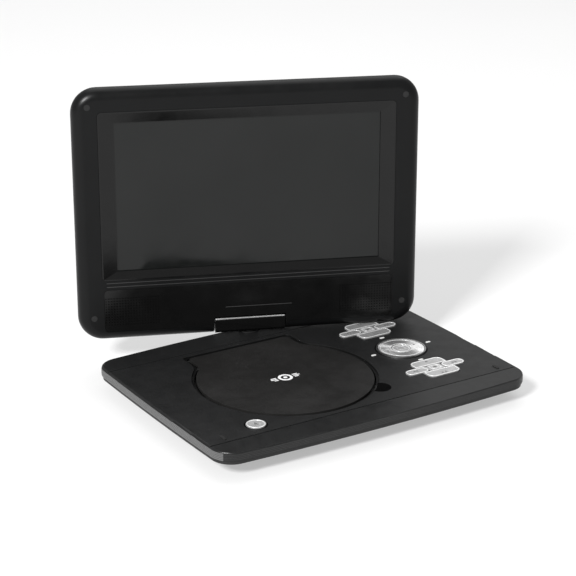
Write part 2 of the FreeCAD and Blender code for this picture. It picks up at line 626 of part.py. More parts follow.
def disc_well():
    well = Piece("well_shell")
    low = "well_floor_top - well_floor"
    well.pad("door_x", "door_y", low, f"ceiling - ({low})", draw_circle, "well_radius + well_wall")
    well.pocket("door_x", "door_y", "well_floor_top", "ceiling", draw_circle, "well_radius")
    well.pocket("door_x", "door_y", f"{low} - 1", "well_floor + 2", draw_circle, "hub_hole")
    well.pocket("door_x", "door_y - (hub_hole + chassis_front - 4) / 2", f"{low} - 1",
                "well_floor + 2", draw_rounded, "lens_size * 4",
                "chassis_front - 4 - hub_hole + 8", "3")
    gate = box("latch_gate", "0", "0", "0", "well_wall + 3", "latch_nose + 2 * key_gap", "4")
    gate_group = group("latch_gate_place", gate)
    beside_door(gate_group, "well_radius - 1.5", "latch_nose / 2 + key_gap",
                "latch_top - latch_thick - key_gap")
    relief = mid_box("hinge_relief", "door_x", "door_axis_y + 17", "door_axis_z - hinge_sweep",
                     "2 * (neck_half - lug_width) + 6", "40", "hinge_sweep * 2")
    keep(cut("well_with_gate", well.body, gate_group, relief), "disc_well")


def beside_door(thing, reach, half_width, low):
    """Lays a block along the line from the disc centre to the open button, at a given reach."""
    dx, dy = value("open_x - door_x"), value("open_y - door_y")
    turn = FreeCAD.Rotation(FreeCAD.Vector(0, 0, 1), math.degrees(math.atan2(dy, dx)))
    centre = FreeCAD.Vector(value("door_x"), value("door_y"), value(low))
    aside = turn.multVec(FreeCAD.Vector(value(reach), -value(half_width), 0))
    thing.Placement = FreeCAD.Placement(centre + aside, turn)
    return thing


def latch():
    """A sliding latch that the open button draws back from the door's rim."""
    nose_start = "door_radius + latch_gap"
    bar_start = "well_radius + well_wall + 3"
    nose_length = f"{bar_start} - ({nose_start}) + 1"
    window_start = f"(((open_x - door_x) ^ 2 + (open_y - door_y) ^ 2) ^ 0.5 - 3.5) - ({bar_start})"
    bar = box("latch_bar", "0", "0", "0", "latch_length", "latch_width", "latch_thick")
    window = box("latch_window", window_start, "latch_width / 2 - 2.3", "-1", "7", "4.6",
                 "latch_thick + 2")
    nose = box("latch_nose", f"1 - ({nose_length})", "(latch_width - latch_nose) / 2", "0",
               nose_length, "latch_nose", "latch_thick")
    shape = cut("latch_shape", fuse("latch_solid", bar, nose), window)
    keep(beside_door(shape, bar_start, "latch_width / 2", "latch_top - latch_thick"), "door_latch")


def drive():
    hub_low = "disc_seat - table_thick"
    table = rod("hub_table", "door_x", "door_y", hub_low, "table_radius", "table_thick")
    cone = doc.addObject("Part::Cone", "hub_cone")
    bind(cone, Radius1="hub_radius", Radius2="hub_radius - 1.2", Height="hub_height - hub_straight")
    move(cone, "door_x", "door_y", "disc_seat + hub_straight")
    seat = rod("hub_seat", "door_x", "door_y", "disc_seat", "hub_radius", "hub_straight")
    shaft = rod("hub_shaft", "door_x", "door_y", "chassis_low - motor_height + 1", "spindle",
                "disc_seat - chassis_low + motor_height - 1")
    boss = rod("hub_boss", "door_x", "door_y", "chassis_top + 0.4", "4",
               "disc_seat - table_thick - chassis_top - 0.4")
    keep(fuse("spindle_hub", table, seat, cone, shaft, boss), "spindle_hub")
    can = rod("motor_can", "door_x", "door_y", "chassis_low - motor_height", "motor_radius",
              "motor_height")
    neck = rod("motor_neck", "door_x", "door_y", "chassis_low", "5", "chassis_thick")
    bore = rod("motor_bore", "door_x", "door_y", "chassis_low - motor_height + 0.6",
               "spindle + running_gap", "20")
    keep(cut("spindle_motor", fuse("motor_solid", can, neck), bore), "spindle_motor")

    plate_y = "door_y + (chassis_back - chassis_front) / 2"
    chassis = Piece("chassis_plate")
    chassis.pad("door_x", plate_y, "chassis_low", "chassis_thick", draw_rounded,
                "2 * chassis_half", "chassis_back + chassis_front", "4")
    chassis.pocket("door_x", "door_y", "chassis_low - 1", "chassis_thick + 2", draw_circle, "5")
    slot_mid = "door_y - (sled_start + sled_length + sled_travel + 0.6 + sled_start - 1) / 2"
    chassis.pocket("door_x", slot_mid, "chassis_low - 1", "chassis_thick + 2", draw_rounded,
                   "sled_width + 1", "sled_length + sled_travel + 1.6", "1")
    chassis.pocket("door_x + screw_offset", "door_y + 5.5", "chassis_low - 1", "chassis_thick + 2",
                   draw_rounded, "2 * feed_motor + 0.6", "feed_motor_length + 2", "1")
    blocks = []
    holes = []
    front_y = "door_y - chassis_front"
    for side in (1, -1):
        x = f"door_x + {side} * rail_spacing / 2"
        for y in (front_y, "door_y - sled_start + 1"):
            blocks.append(box("rail_clip", f"{x} - 2.6", y, "rail_z - 2.2", "5.2", "1.0",
                              "chassis_low - rail_z + 2.2"))
        holes.append(rod("rail_seat", x, front_y, "rail_z", "rail_size", "chassis_front", "y"))
    lead_x = "door_x + screw_offset"
    blocks.append(box("screw_clip", f"{lead_x} - 2", front_y, "rail_z - 2", "4", "1.0",
                      "chassis_low - rail_z + 2"))
    holes.append(rod("screw_seat", lead_x, front_y, "rail_z", "lead_size + running_gap", "1.2", "y"))
    holes += [rod("chassis_hole", x, y, "chassis_low - 1", "screw_shank - 0.1", "4")
              for x, y in POSTS]
    keep(cut("loader_chassis", fuse("chassis_solid", chassis.body, *blocks), *holes),
         "loader_chassis")

    dampers = [ring("damper", x, y, "chassis_low - damper_height", "screw_shank - 0.1",
                    "damper_size", "damper_height") for x, y in POSTS]
    keep(group("loader_dampers", *dampers), "loader_dampers")
    screws = []
    for x, y in POSTS:
        head = rod("loader_screw_head", x, y, "chassis_top", "2.4", "0.9")
        shank = rod("loader_screw_shank", x, y, "tub_floor + 1", "screw_shank - 0.1",
                    "chassis_top - tub_floor - 1")
        screws.append(fuse("loader_screw", head, shank))
    keep(group("loader_screws", *screws), "loader_screws")

    rails = [rod("rail", f"door_x + {side} * rail_spacing / 2", front_y, "rail_z", "rail_size",
                 "chassis_front - sled_start + 2", "y") for side in (1, -1)]
    keep(group("sled_rails", *rails), "sled_rails")
    feed = rod("feed_can", lead_x, "door_y", "rail_z", "feed_motor", "feed_motor_length", "y")
    feed_bore = rod("feed_bore", lead_x, "door_y - 1", "rail_z", "lead_size + running_gap",
                    "feed_motor_length - 3", "y")
    keep(cut("sled_motor", feed, feed_bore), "sled_motor")
    keep(rod("lead_screw", lead_x, front_y, "rail_z", "lead_size",
             "chassis_front + feed_motor_length - 6", "y"), "lead_screw")
    pickup()


def pickup():
    """The sled on its two rails, with the objective lens on top."""
    start_y = "door_y - sled_start - sled_length"
    sled = box("sled_block", "door_x - sled_width / 2", start_y, "rail_z - sled_height / 2 + 0.4",
               "sled_width", "sled_length", "sled_height")
    ears = []
    bores = []
    for side in (1, -1):
        x = f"door_x + {side} * rail_spacing / 2"
        ears.append(rod("sled_ear", x, start_y, "rail_z", "rail_size + 1.4", "sled_length", "y"))
        bores.append(rod("sled_bore", x, f"{start_y} - 1", "rail_z", "rail_size + running_gap",
                         "sled_length + 2", "y"))
    lens_y = "door_y - sled_start - sled_length / 2"
    top = "rail_z + sled_height / 2 + 0.4"
    tower = mid_box("lens_tower", "door_x", lens_y, top, "lens_size * 2 + 3", "lens_size * 2 + 3",
                    f"well_floor_top - 1.4 - ({top})")
    solid = fuse("sled_solid", sled, tower, *ears)
    keep(cut("optical_pickup", solid, *bores), "optical_pickup")
    lens = doc.addObject("Part::Sphere", "lens_ball")
    bind(lens, Radius="lens_size * 2")
    move(lens, "door_x", lens_y, "well_floor_top - 0.4 - lens_size * 2")
    slab = mid_box("lens_slab", "door_x", lens_y, "well_floor_top - 1.4", "lens_size * 4",
                   "lens_size * 4", "2")
    keep(common("pickup_lens", lens, slab), "pickup_lens")


# ---------------------------------------------------------------- keys


def key_parts(prefix, y):
    """Five keys of one block: rear, front, left, right and centre, each on its own stem."""
    low = "key_top - key_plate"
    stem_low = "key_board_top + dome_thick + key_travel + 0.1"
    half_gap = "(tab_width / 2 + key_gap)"
    for name, sign in (("rear", 1), ("front", -1)):
        key = Piece(f"{prefix}_{name}_plate")
        key.pad("keys_x", y, low, "key_plate", draw_rounded, "key_block", "key_block_depth",
                "key_corner")
        key.pocket("keys_x", f"{y} - {sign} * (key_block_depth / 2 - {half_gap})",
                   f"{low} - 1", "key_plate + 2", draw_rectangle, "key_block + 2",
                   "key_block_depth")
        stem_y = f"{y} + {sign} * (key_block_depth / 4 + {half_gap} / 2)"
        stem = rod("key_stem", "keys_x", stem_y, stem_low, "key_stem", f"{low} - ({stem_low}) + 0.1")
        keep(fuse(f"{prefix}_{name}_key", key.body, stem), f"{prefix}_{name}_key")
    for name, sign in (("right", 1), ("left", -1)):
        x = f"keys_x + {sign} * (tab_reach + tab_start) / 2"
        key = plate(f"{prefix}_{name}_plate", x, y, low, "key_plate", draw_slot,
                    "tab_reach - tab_start", "tab_width")
        stem = rod("key_stem", x, y, stem_low, "key_stem", f"{low} - ({stem_low}) + 0.1")
        keep(fuse(f"{prefix}_{name}_key", key, stem), f"{prefix}_{name}_key")
    centre = plate(f"{prefix}_centre_plate", "keys_x", y, low, "key_plate", draw_rounded,
                   "centre_key", "tab_width - 0.6", "1")
    stem = rod("key_stem", "keys_x", y, stem_low, "key_stem", f"{low} - ({stem_low}) + 0.1")
    keep(fuse(f"{prefix}_centre_key", centre, stem), f"{prefix}_centre_key")


def navigation_pad():
    """A rocking pad round a central key, inside a fixed ring."""
    top = "base_height + nav_proud"
    keep(ring("nav_ring", "keys_x", "nav_y", "ceiling", "nav_radius + key_gap",
              "nav_radius + key_gap + nav_ring_width", f"{top} - ceiling + 0.2"), "nav_ring")
    dish = ring("nav_dish", "keys_x", "nav_y", f"{top} - nav_plate", "ok_radius + key_gap",
                "nav_radius", "nav_plate")
    skirt = ring("nav_skirt", "keys_x", "nav_y", "key_board_top + 2.9", "ok_radius + key_gap",
                 "ok_radius + 2.7", f"{top} - nav_plate - key_board_top - 2.8")
    keep(fuse("nav_pad", dish, skirt), "nav_pad")
    keep(ring("nav_gimbal", "keys_x", "nav_y", "key_board_top + 1.1", "ok_radius + key_gap",
              "ok_radius + 4.5", "1.1"), "nav_gimbal")
    button = rod("ok_button_cap", "keys_x", "nav_y", f"{top} - nav_plate - 0.2", "ok_radius",
                 "nav_plate")
    stem = rod("ok_button_stem", "keys_x", "nav_y", "key_board_top + dome_thick + key_travel + 0.1",
               "3", f"{top} - nav_plate - 0.2 - key_board_top - dome_thick - key_travel - 0.1")
    keep(fuse("ok_button", button, stem), "ok_button")
    marks = []
    for turn in range(4):
        x = f"keys_x + mark_reach * {round(math.cos(math.radians(90 * turn)))}"
        y = f"nav_y + mark_reach * {round(math.sin(math.radians(90 * turn)))}"
        marks.append(plate("mark", x, y, "base_height - 1", "1 + mark_proud", draw_slot,
                           "mark_length - 0.04", "mark_width - 0.04"))
    keep(group("direction_marks", *marks), "direction_marks")


def top_details():
    cap = rod("open_cap", "open_x", "open_y", "base_height + 0.6 - 2", "open_radius", "2")
    stem = rod("open_stem", "open_x", "open_y", "key_board_top + 3.6", "2",
               "base_height - 1.4 - key_board_top - 3.6")
    keep(fuse("open_button", cap, stem), "open_button")
    bumpers = [plate("bumper", f"{side} * bumper_x", "bumper_y", "base_height - 1",
                     "1 + bumper_proud", draw_rounded, "bumper_width - 0.02",
                     "bumper_length - 0.02", "bumper_width * 0.48") for side in (1, -1)]
    keep(group("lid_bumpers", *bumpers), "lid_bumpers")
    board = Piece("key_board")
    board.pad("keys_x", "nav_y", "key_board_top - board_thick", "board_thick", draw_rounded,
              "2 * tab_reach + 4", "rear_keys_y - front_keys_y + key_block_depth + 4", "3")
    keep(board.body, "key_board")


# ---------------------------------------------------------------- boards and sockets


def main_board():
    mid_x = f"({BOARD_LOW_X} + {BOARD_HIGH_X}) / 2"
    board = plate("board_sheet", mid_x, "tub_y", "main_board_low", "main_board_thick",
                  draw_rounded, f"{BOARD_HIGH_X} - ({BOARD_LOW_X})",
                  f"{BOARD_HIGH_Y} - ({BOARD_LOW_Y})", "tub_corner - tub_wall - 2")
    top = "main_board_low + main_board_thick"
    chips = [mid_box("decoder_chip", f"{mid_x} - 8", "tub_y + 14", top, "22", "22", "1.6"),
             mid_box("memory_chip", f"{mid_x} + 20", "tub_y + 16", top, "11", "18", "1.2"),
             mid_box("driver_chip", f"{mid_x} - 10", "tub_y - 26", top, "14", "9", "1.8"),
             mid_box("choke", f"{mid_x} + 26", "tub_y - 30", top, "12", "12", "3.4"),
             rod("capacitor", f"{mid_x} + 8", "tub_y - 46", top, "3", "3.8"),
             rod("capacitor", f"{mid_x} + 17", "tub_y - 46", top, "3", "3.8")]
    keep(fuse("main_board", board, *chips), "main_board")


def socket(name, y, collar, bore, block):
    """A socket along X: a block on the rim's floor and a collar through the side wall."""
    block_x = "socket_face - jack_long - 2.6"
    body = box(name + "_block", block_x, f"{y} - {block} / 2", "rim_floor", "jack_long - 1", block,
               "socket_z - rim_floor + 2.4")
    tube = rod(name + "_collar", f"{block_x} + jack_long - 1.5", y, "socket_z", collar,
               "collar_long - side_bow", "x")
    hole = rod(name + "_hole", f"{block_x} + 1.5", y, "socket_z", bore, "20", "x")
    return cut(name, fuse(name + "_solid", body, tube), hole)


def sockets():
    dc = socket("dc_shell", "dc_y", "dc_collar", "dc_bore", "jack_block + 1")
    pin = rod("dc_pin", "socket_face - jack_long - 1.5", "dc_y", "socket_z", "dc_pin",
              "jack_long - 2", "x")
    keep(fuse("dc_inlet", dc, pin), "dc_inlet")
    jacks = [socket("jack", y, "jack_collar", "jack_bore", "jack_block") for y in JACKS]
    keep(group("signal_jacks", *jacks), "signal_jacks")
    knob_y = "power_y - power_travel / 2"
    knob = mid_box("power_cap", "socket_face - side_bow / 2 - 1.5 + knob_proud", knob_y,
                   "socket_z - knob_tall / 2", "3", "knob_long", "knob_tall")
    tongue = mid_box("power_tongue", "socket_face - 5", knob_y, "socket_z - 0.8", "6", "3", "1.6")
    keep(fuse("power_slider", knob, tongue), "power_slider")


# ---------------------------------------------------------------- hinge


def hinge():
    shaft_low = "rim_floor + 0.4"
    bush = ring("bush_tube", "0", "hinge_y", "ceiling - bush_flange_thick",
                "swivel_shaft + running_gap", "bush_radius", "top_wall + bush_flange_thick")
    flange = ring("bush_flange", "0", "hinge_y", "ceiling - bush_flange_thick",
                  "swivel_shaft + running_gap", "bush_radius + bush_flange", "bush_flange_thick")
    keep(fuse("swivel_bush", bush, flange), "swivel_bush")
    stub = rod("stub", "0", "0", "base_height + 0.2", "stub_radius", "stub_rim")
    neck = rod("stub_neck", "0", "0", "base_height + 0.2", "stub_neck", "hinge_rise - block_low - 0.2")
    shaft = rod("swivel_post", "0", "0", shaft_low, "swivel_shaft", f"base_height + 0.2 - ({shaft_low})")
    turntable = fuse("turntable_solid", stub, neck, shaft)
    keep(stand_on_swivel("hinge_turntable", turntable), "hinge_turntable")
    nut_low = "ceiling - bush_flange_thick - retainer_thick"
    retainer = ring("retainer", "0", "0", nut_low, "swivel_shaft", "retainer_radius",
                    "retainer_thick")
    keep(stand_on_swivel("swivel_retainer", retainer), "swivel_retainer")

    block_box = lid_box("block_box", "-block_width / 2", "-block_low", "-lid_half",
                        "block_width", "block_low + block_top", "lid_thick")
    block_rod = lid_rod("block_rod", "-block_width / 2", "block_round", "block_width")
    hollow = [lid_rod("block_bore", "-block_width / 2 - 1", "tilt_shaft", "8"),
              lid_rod("block_bore", "block_width / 2 - 7", "tilt_shaft", "8"),
              lid_box("trim_seat", "-block_width / 2 - 1", "trim_low", "lid_half - trim_thick",
                      "block_width + 2", "trim_height", "2")]
    keep(on_swivel(cut("hinge_block", common("block_solid", block_box, block_rod), *hollow)),
         "hinge_block")
    strip = lid_box("trim_box", "-block_width / 2", "trim_low", "lid_half - trim_thick",
                    "block_width", "trim_height", "trim_thick")
    round_off = lid_rod("trim_round", "-block_width / 2", "block_round", "block_width")
    keep(on_swivel(common("hinge_trim", strip, round_off)), "hinge_trim")
    shafts = [lid_rod("tilt_shaft_right", "block_width / 2 - 7", "tilt_shaft",
                      "tilt_shaft_reach - block_width / 2 + 7"),
              lid_rod("tilt_shaft_left", "-tilt_shaft_reach", "tilt_shaft",
                      "tilt_shaft_reach - block_width / 2 + 7")]
    keep(on_swivel(group("tilt_shafts", *shafts)), "tilt_shafts")


def frame(name, lean):
    """A placement at the hinge centre, turned to the screen's rest angles."""
    anchor = doc.addObject("App::Placement", name)
    base = f"create(<<vector>>; 0; {linked('hinge_y')}; {linked('hinge_z')})"
    turn = f"create(<<rotation>>; {linked('swivel_angle')}; 0; {linked(lean)})"
    anchor.setExpression("Placement", f"create(<<placement>>; {base}; {turn})")
    return anchor


swivel_frame = frame("SwivelFrame", "0")
lid_frame = frame("LidFrame", "-lean_angle")


def on_swivel(thing):
    thing.setExpression("Placement", "SwivelFrame.Placement")
    return thing


def on_lid(thing):
    thing.setExpression("Placement", "LidFrame.Placement")
    return thing


def stand_on_swivel(name, thing):
    """Moves a round piece, drawn about the origin, to the swivel axis."""
    result = group(name, thing)
    bind(result, Placement__Base__y="hinge_y")
    return result


def lid_box(name, u, v, w, wide, high, deep):
    """A block in the screen's own axes: u to the right, v up and w towards the viewer."""
    return box(name, u, f"-(({w}) + ({deep}))", v, wide, deep, high)


def lid_rod(name, u, radius, length, v="0"):
    """A cylinder along u."""
    return rod(name, u, "0", v, radius, length, "x")


# ---------------------------------------------------------------- lid

LID_HEIGHT = "lid_top + lid_low"
LID_V = "(lid_top - lid_low) / 2"
TUNNEL_HALF = "notch_half + tunnel_wall"
LID_SCREWS = [(sign, v) for sign in (1, -1) for v in ("pad_top_v", "pad_low_v")]


def notch(name):
    """The round gap that the hinge block turns in, open at the lid's lower edge."""
    tube = lid_rod(name + "_round", "-notch_half", "notch_radius", "2 * notch_half")
    below = lid_box(name + "_below", "-notch_half", "-lid_low - 2", "-lid_thick", "2 * notch_half",
                    "lid_low + 2", "2 * lid_thick")
    return fuse(name, tube, below)


def half_shell(name, front):
    """Half of the lid's outer form, hollowed from the middle plane."""
    shell = Piece(name, upright=True)
    low = "0" if front else "-lid_half"
    outline = ("lid_width", LID_HEIGHT, "lid_corner")
    shell.pad("0", LID_V, low, "lid_half", draw_rounded, *outline)
    face = -value("lid_half") if front else value("lid_half")
    shell.fillet("lid_round", lambda edge: spans(edge, "Y", face, face))
    inner = ("lid_width - 2 * lid_side_wall", f"{LID_HEIGHT} - 2 * lid_side_wall",
             "lid_corner - lid_side_wall")
    hollow_low = "0" if front else "lid_wall - lid_half"
    shell.pocket("0", LID_V, hollow_low, "lid_half - lid_wall", draw_rounded, *inner)
    return shell


def lid_front_frame():
    shell = half_shell("front_shell", True)
    shell.pocket("0", "bezel_v", "0", "lid_half + 1", draw_rounded, "2 * (bezel_half + seam)",
                 "bezel_high - bezel_low + 2 * seam", "bezel_corner + seam")
    shell.pocket("0", "(strip_low + strip_high) / 2", "0", "lid_half + 1", draw_rounded,
                 "2 * (strip_half + seam)", "strip_high - strip_low + 2 * seam",
                 "strip_corner + seam")
    bosses = [upright_rod("front_boss", f"{sign} * pad_x", v, "0.1", "boss_size",
                          "lid_half - lid_wall") for sign, v in LID_SCREWS]
    holes = [upright_rod("pad_hole", f"{sign} * pad_x", v, "lid_half - 2.4", "pad_size + 0.05", "4")
             for sign, v in LID_SCREWS]
    holes += [upright_rod("lid_screw_hole", f"{sign} * pad_x", v, "-1", "lid_screw + 0.2", "9")
              for sign, v in LID_SCREWS]
    room = lid_box("tunnel_room", f"-({TUNNEL_HALF}) - 0.2", "-lid_low - 1", "-1",
                   f"2 * ({TUNNEL_HALF}) + 0.4", "lid_low + 1 + notch_radius + tunnel_wall + 0.2",
                   "lid_half - lid_wall + 1")
    body = cut("front_open", fuse("front_with_bosses", shell.body, *bosses), *holes,
               room, notch("front_notch"))
    keep(on_lid(body), "lid_front_frame")


def upright_rod(name, u, v, w, radius, length):
    """A cylinder towards the viewer, from a point in the screen's own axes."""
    return rod(name, u, f"-(({w}) + ({length}))", v, radius, length, "y")


def lid_back_cover():
    shell = half_shell("back_shell", False)
    tunnel = lid_box("tunnel", f"-({TUNNEL_HALF})", "-lid_low + 0.5", "-lid_half + 1",
                     f"2 * ({TUNNEL_HALF})", "lid_low - 0.5 + notch_radius + tunnel_wall",
                     "lid_thick - lid_wall - 1.1")
    bosses = [upright_rod("back_boss", f"{sign} * pad_x", v, "lid_wall - lid_half", "boss_size",
                          "lid_half - lid_wall") for sign, v in LID_SCREWS]
    holes = [upright_rod("back_boss_hole", f"{sign} * pad_x", v, "lid_wall - lid_half + 1",
                         "lid_screw", "lid_half") for sign, v in LID_SCREWS]
    holes += [lid_rod("shaft_hole", start, "tilt_shaft + running_gap", "6")
              for start in ("notch_half - 1", "-notch_half - 5")]
    rounded = lid_rod("tunnel_round", f"-({TUNNEL_HALF}) - 1", "lid_low", f"2 * ({TUNNEL_HALF}) + 2")
    block = lid_box("tunnel_upper", f"-({TUNNEL_HALF}) - 1", "0", "-lid_half",
                    f"2 * ({TUNNEL_HALF}) + 2", "lid_thick", "lid_thick")
    shaped = common("tunnel_shaped", tunnel, fuse("tunnel_limit", rounded, block))
    body = cut("back_open", fuse("back_with_tunnel", shell.body, shaped, *bosses), *holes,
               notch("back_notch"))
    keep(on_lid(body), "lid_back_cover")


def screen():
    low, high = "lid_half - bezel_thick", "bezel_thick"
    frame_box = plate("bezel_plate", "0", "bezel_v", low, high, draw_rounded, "2 * bezel_half",
                      "bezel_high - bezel_low", "bezel_corner", upright=True)
    window = lid_box("bezel_window", "-window_half", "window_low", f"{low} - 1", "2 * window_half",
                     "window_high - window_low", "bezel_thick + 2")
    facets = doc.addObject("Part::Wedge", "bezel_facets")
    bind(facets, Xmin="-bezel_half + 1", Xmax="bezel_half - 1", X2min="-window_half",
         X2max="window_half", Ymin="-lid_half", Ymax="bezel_slope - lid_half",
         Zmin="bezel_low + 1", Zmax="bezel_high - 1", Z2min="window_low", Z2max="window_high")
    keep(on_lid(cut("bezel_cut", frame_box, window, facets)), "screen_bezel")
    glass_w = f"{low} - glass_thick"
    size = ("2 * (window_half + glass_margin)", "window_high - window_low + 2 * glass_margin", "1")
    glass = plate("screen_glass", "0", "window_v", glass_w, "glass_thick", draw_rounded, *size,
                  upright=True)
    keep(on_lid(glass), "screen_glass")
    panel = plate("lcd_panel", "0", "window_v", f"{glass_w} - panel_thick", "panel_thick",
                  draw_rounded, "2 * (window_half + panel_margin)",
                  "window_high - window_low + 2 * panel_margin", "1", upright=True)
    keep(on_lid(panel), "lcd_panel")
    board_w = f"{glass_w} - panel_thick - 3.2"
    board = plate("lcd_board_sheet", "20", "window_v", board_w, "1.2", draw_rounded, "110", "70",
                  "2", upright=True)
    chip = lid_box("lcd_board_chip", "10", "window_v - 8", f"{board_w} + 1.2", "18", "18", "1.4")
    keep(on_lid(fuse("lcd_driver_board", board, chip)), "lcd_driver_board")


def speaker_strip():
    strip = plate("strip_plate", "0", "(strip_low + strip_high) / 2", "lid_half - strip_thick",
                  "strip_thick", draw_rounded, "2 * strip_half", "strip_high - strip_low",
                  "strip_corner", upright=True)
    keep(on_lid(cut("strip_open", strip, notch("strip_notch"))), "speaker_panel")
    for name, sign in (("left_speaker", -1), ("right_speaker", 1)):
        u = f"{sign} * speaker_x"
        front = "lid_half - strip_thick - 0.2"
        body = Piece(name, upright=True)
        body.pad(u, "speaker_v", f"{front} - speaker_deep", "speaker_deep", draw_slot,
                 "speaker_wide", "speaker_tall")
        body.pocket(u, "speaker_v", f"{front} - 1.2", "2", draw_slot, "speaker_wide - 4",
                    "speaker_tall - 4")
        keep(on_lid(body.body), name)


def lid_hardware():
    brackets = []
    for start in ("notch_half + tunnel_wall + 2", "-notch_half - tunnel_wall - 6"):
        block = lid_box("bracket_block", start, "lid_side_wall + 0.2 - lid_low",
                        "lid_wall - lid_half", "4", "13", "10")
        bore = lid_rod("bracket_bore", f"{start} - 1", "tilt_shaft + running_gap", "6")
        brackets.append(cut("bracket", block, bore))
    keep(on_lid(group("bracket_pair", *brackets)), "tilt_brackets")
    screws = []
    pads = []
    for sign, v in LID_SCREWS:
        head = upright_rod("lid_screw_head", f"{sign} * pad_x", v, "lid_half - 2.4", "pad_size - 0.2",
                           "1.3")
        shank = upright_rod("lid_screw_shank", f"{sign} * pad_x", v, "-lid_half + lid_wall + 1.2",
                            "lid_screw", "lid_thick - lid_wall - 3.6")
        screws.append(fuse("lid_screw", head, shank))
        pads.append(upright_rod("screw_pad", f"{sign} * pad_x", v, "lid_half - 1", "pad_size",
                                "pad_thick + 0.3"))
    keep(on_lid(group("screw_set", *screws)), "lid_screws")
    keep(on_lid(group("pad_set", *pads)), "screw_pads")


# ---------------------------------------------------------------- the player

top_case()
bottom_case()
battery()
disc_door()
disc_well()
latch()
drive()
key_parts("rear_block", "rear_keys_y")
key_parts("front_block", "front_keys_y")
navigation_pad()
top_details()
main_board()
sockets()
hinge()
lid_front_frame()
lid_back_cover()
screen()
speaker_strip()
lid_hardware()
doc.recompute()

for thing in doc.Objects:
    if {"Invalid", "Error"} & set(thing.State):
        raise ValueError(f"{thing.Label} did not compute: {thing.State}")
for part in parts:
    if part.Shape.isNull() or not part.Shape.isValid() or not part.Shape.Solids:
        raise ValueError(f"{part.Label} has no valid solid")

os.makedirs("parts", exist_ok=True)
for part in parts:
    part.Shape.exportStep(f"parts/{part.Label}.step")
print(len(parts), "sub-parts written")
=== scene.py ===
import json
import math

import bmesh
import bpy
from mathutils import Matrix, Vector


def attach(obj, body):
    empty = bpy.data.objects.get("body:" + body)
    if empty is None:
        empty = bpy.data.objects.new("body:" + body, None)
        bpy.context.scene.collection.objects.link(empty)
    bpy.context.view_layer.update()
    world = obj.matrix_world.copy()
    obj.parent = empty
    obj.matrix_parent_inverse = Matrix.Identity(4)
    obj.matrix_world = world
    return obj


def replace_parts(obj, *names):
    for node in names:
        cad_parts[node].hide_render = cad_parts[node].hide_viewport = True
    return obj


# The portable disc player on a pale floor. Lengths below are in millimetres and are turned into
# metres as a piece is made.

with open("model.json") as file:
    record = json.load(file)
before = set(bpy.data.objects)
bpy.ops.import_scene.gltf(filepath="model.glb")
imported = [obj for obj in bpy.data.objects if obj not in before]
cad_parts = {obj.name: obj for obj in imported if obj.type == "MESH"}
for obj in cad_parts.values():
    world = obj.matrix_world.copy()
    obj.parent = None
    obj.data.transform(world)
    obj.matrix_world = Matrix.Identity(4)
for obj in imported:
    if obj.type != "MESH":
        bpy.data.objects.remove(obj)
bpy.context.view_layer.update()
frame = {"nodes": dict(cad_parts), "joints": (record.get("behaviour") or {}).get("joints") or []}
MM = 0.001

# ---------------------------------------------------------------- frames of reference

joints = {joint["name"]: joint for joint in frame["joints"]}
tilt = joints["screen_tilt"]
LEAN = math.radians(-tilt["range_deg"][0] - 90)
HINGE = Vector(tilt["pos_m"])


def lid_matrix():
    """Lid axes: x along the hinge, y up the screen, z out of the screen, from the hinge centre."""
    along = -Vector(tilt["axis"])
    facing = Vector((along.y, -along.x, 0))
    up = Vector((0, 0, 1)) * math.cos(LEAN) - facing * math.sin(LEAN)
    out = facing * math.cos(LEAN) + Vector((0, 0, 1)) * math.sin(LEAN)
    matrix = Matrix((along, up, out)).transposed().to_4x4()
    matrix.translation = HINGE
    return matrix


BASE = Matrix.Identity(4)
LID = lid_matrix()


def span(node, place=BASE):
    """Lowest and highest corner of a CAD node along a frame's axes, in millimetres."""
    back = place.inverted()
    points = [back @ v.co / MM for v in frame["nodes"][node].data.vertices]
    low = Vector(min(p[i] for p in points) for i in range(3))
    high = Vector(max(p[i] for p in points) for i in range(3))
    return low, high


def middle(node):
    low, high = span(node)
    return (low + high) / 2


# ---------------------------------------------------------------- shapes


def circle(x, y, radius, steps):
    """Points round a circle."""
    turns = [2 * math.pi * i / steps for i in range(steps)]
    return [(x + radius * math.cos(t), y + radius * math.sin(t)) for t in turns]


def turned(points, x, y, angle):
    """The points turned about the origin, then moved."""
    c, s = math.cos(angle), math.sin(angle)
    return [(x + px * c - py * s, y + px * s + py * c) for px, py in points]


def inset(points, distance):
    """A closed anticlockwise outline moved inward."""
    moved = []
    for i, here in enumerate(points):
        before, after = points[i - 1], points[(i + 1) % len(points)]
        first = Vector((here[0] - before[0], here[1] - before[1])).normalized()
        second = Vector((after[0] - here[0], after[1] - here[1])).normalized()
        inward = Vector((-first.y - second.y, first.x + second.x))
        if inward.length < 1e-6:
            moved.append(here)
            continue
        inward.normalize()
        reach = distance / max(0.5, inward.dot(Vector((-first.y, first.x))))
        moved.append((here[0] + inward.x * reach, here[1] + inward.y * reach))
    return moved


def loop_of(bm, points, height):
    return [bm.verts.new((x * MM, y * MM, height * MM)) for x, y in points]


def bridge(bm, lower, upper):
    for i in range(len(lower)):
        j = (i + 1) % len(lower)
        bm.faces.new((lower[i], lower[j], upper[j], upper[i]))


def slab(bm, points, low, high, slope=0.08):
    """A raised shape with a small slope round its top."""
    foot = loop_of(bm, points, low)
    shoulder = loop_of(bm, points, high - slope)
    crown = loop_of(bm, inset(points, slope), high)
    bridge(bm, foot, shoulder)
    bridge(bm, shoulder, crown)
    bm.faces.new(crown)
    bm.faces.new(list(reversed(foot)))


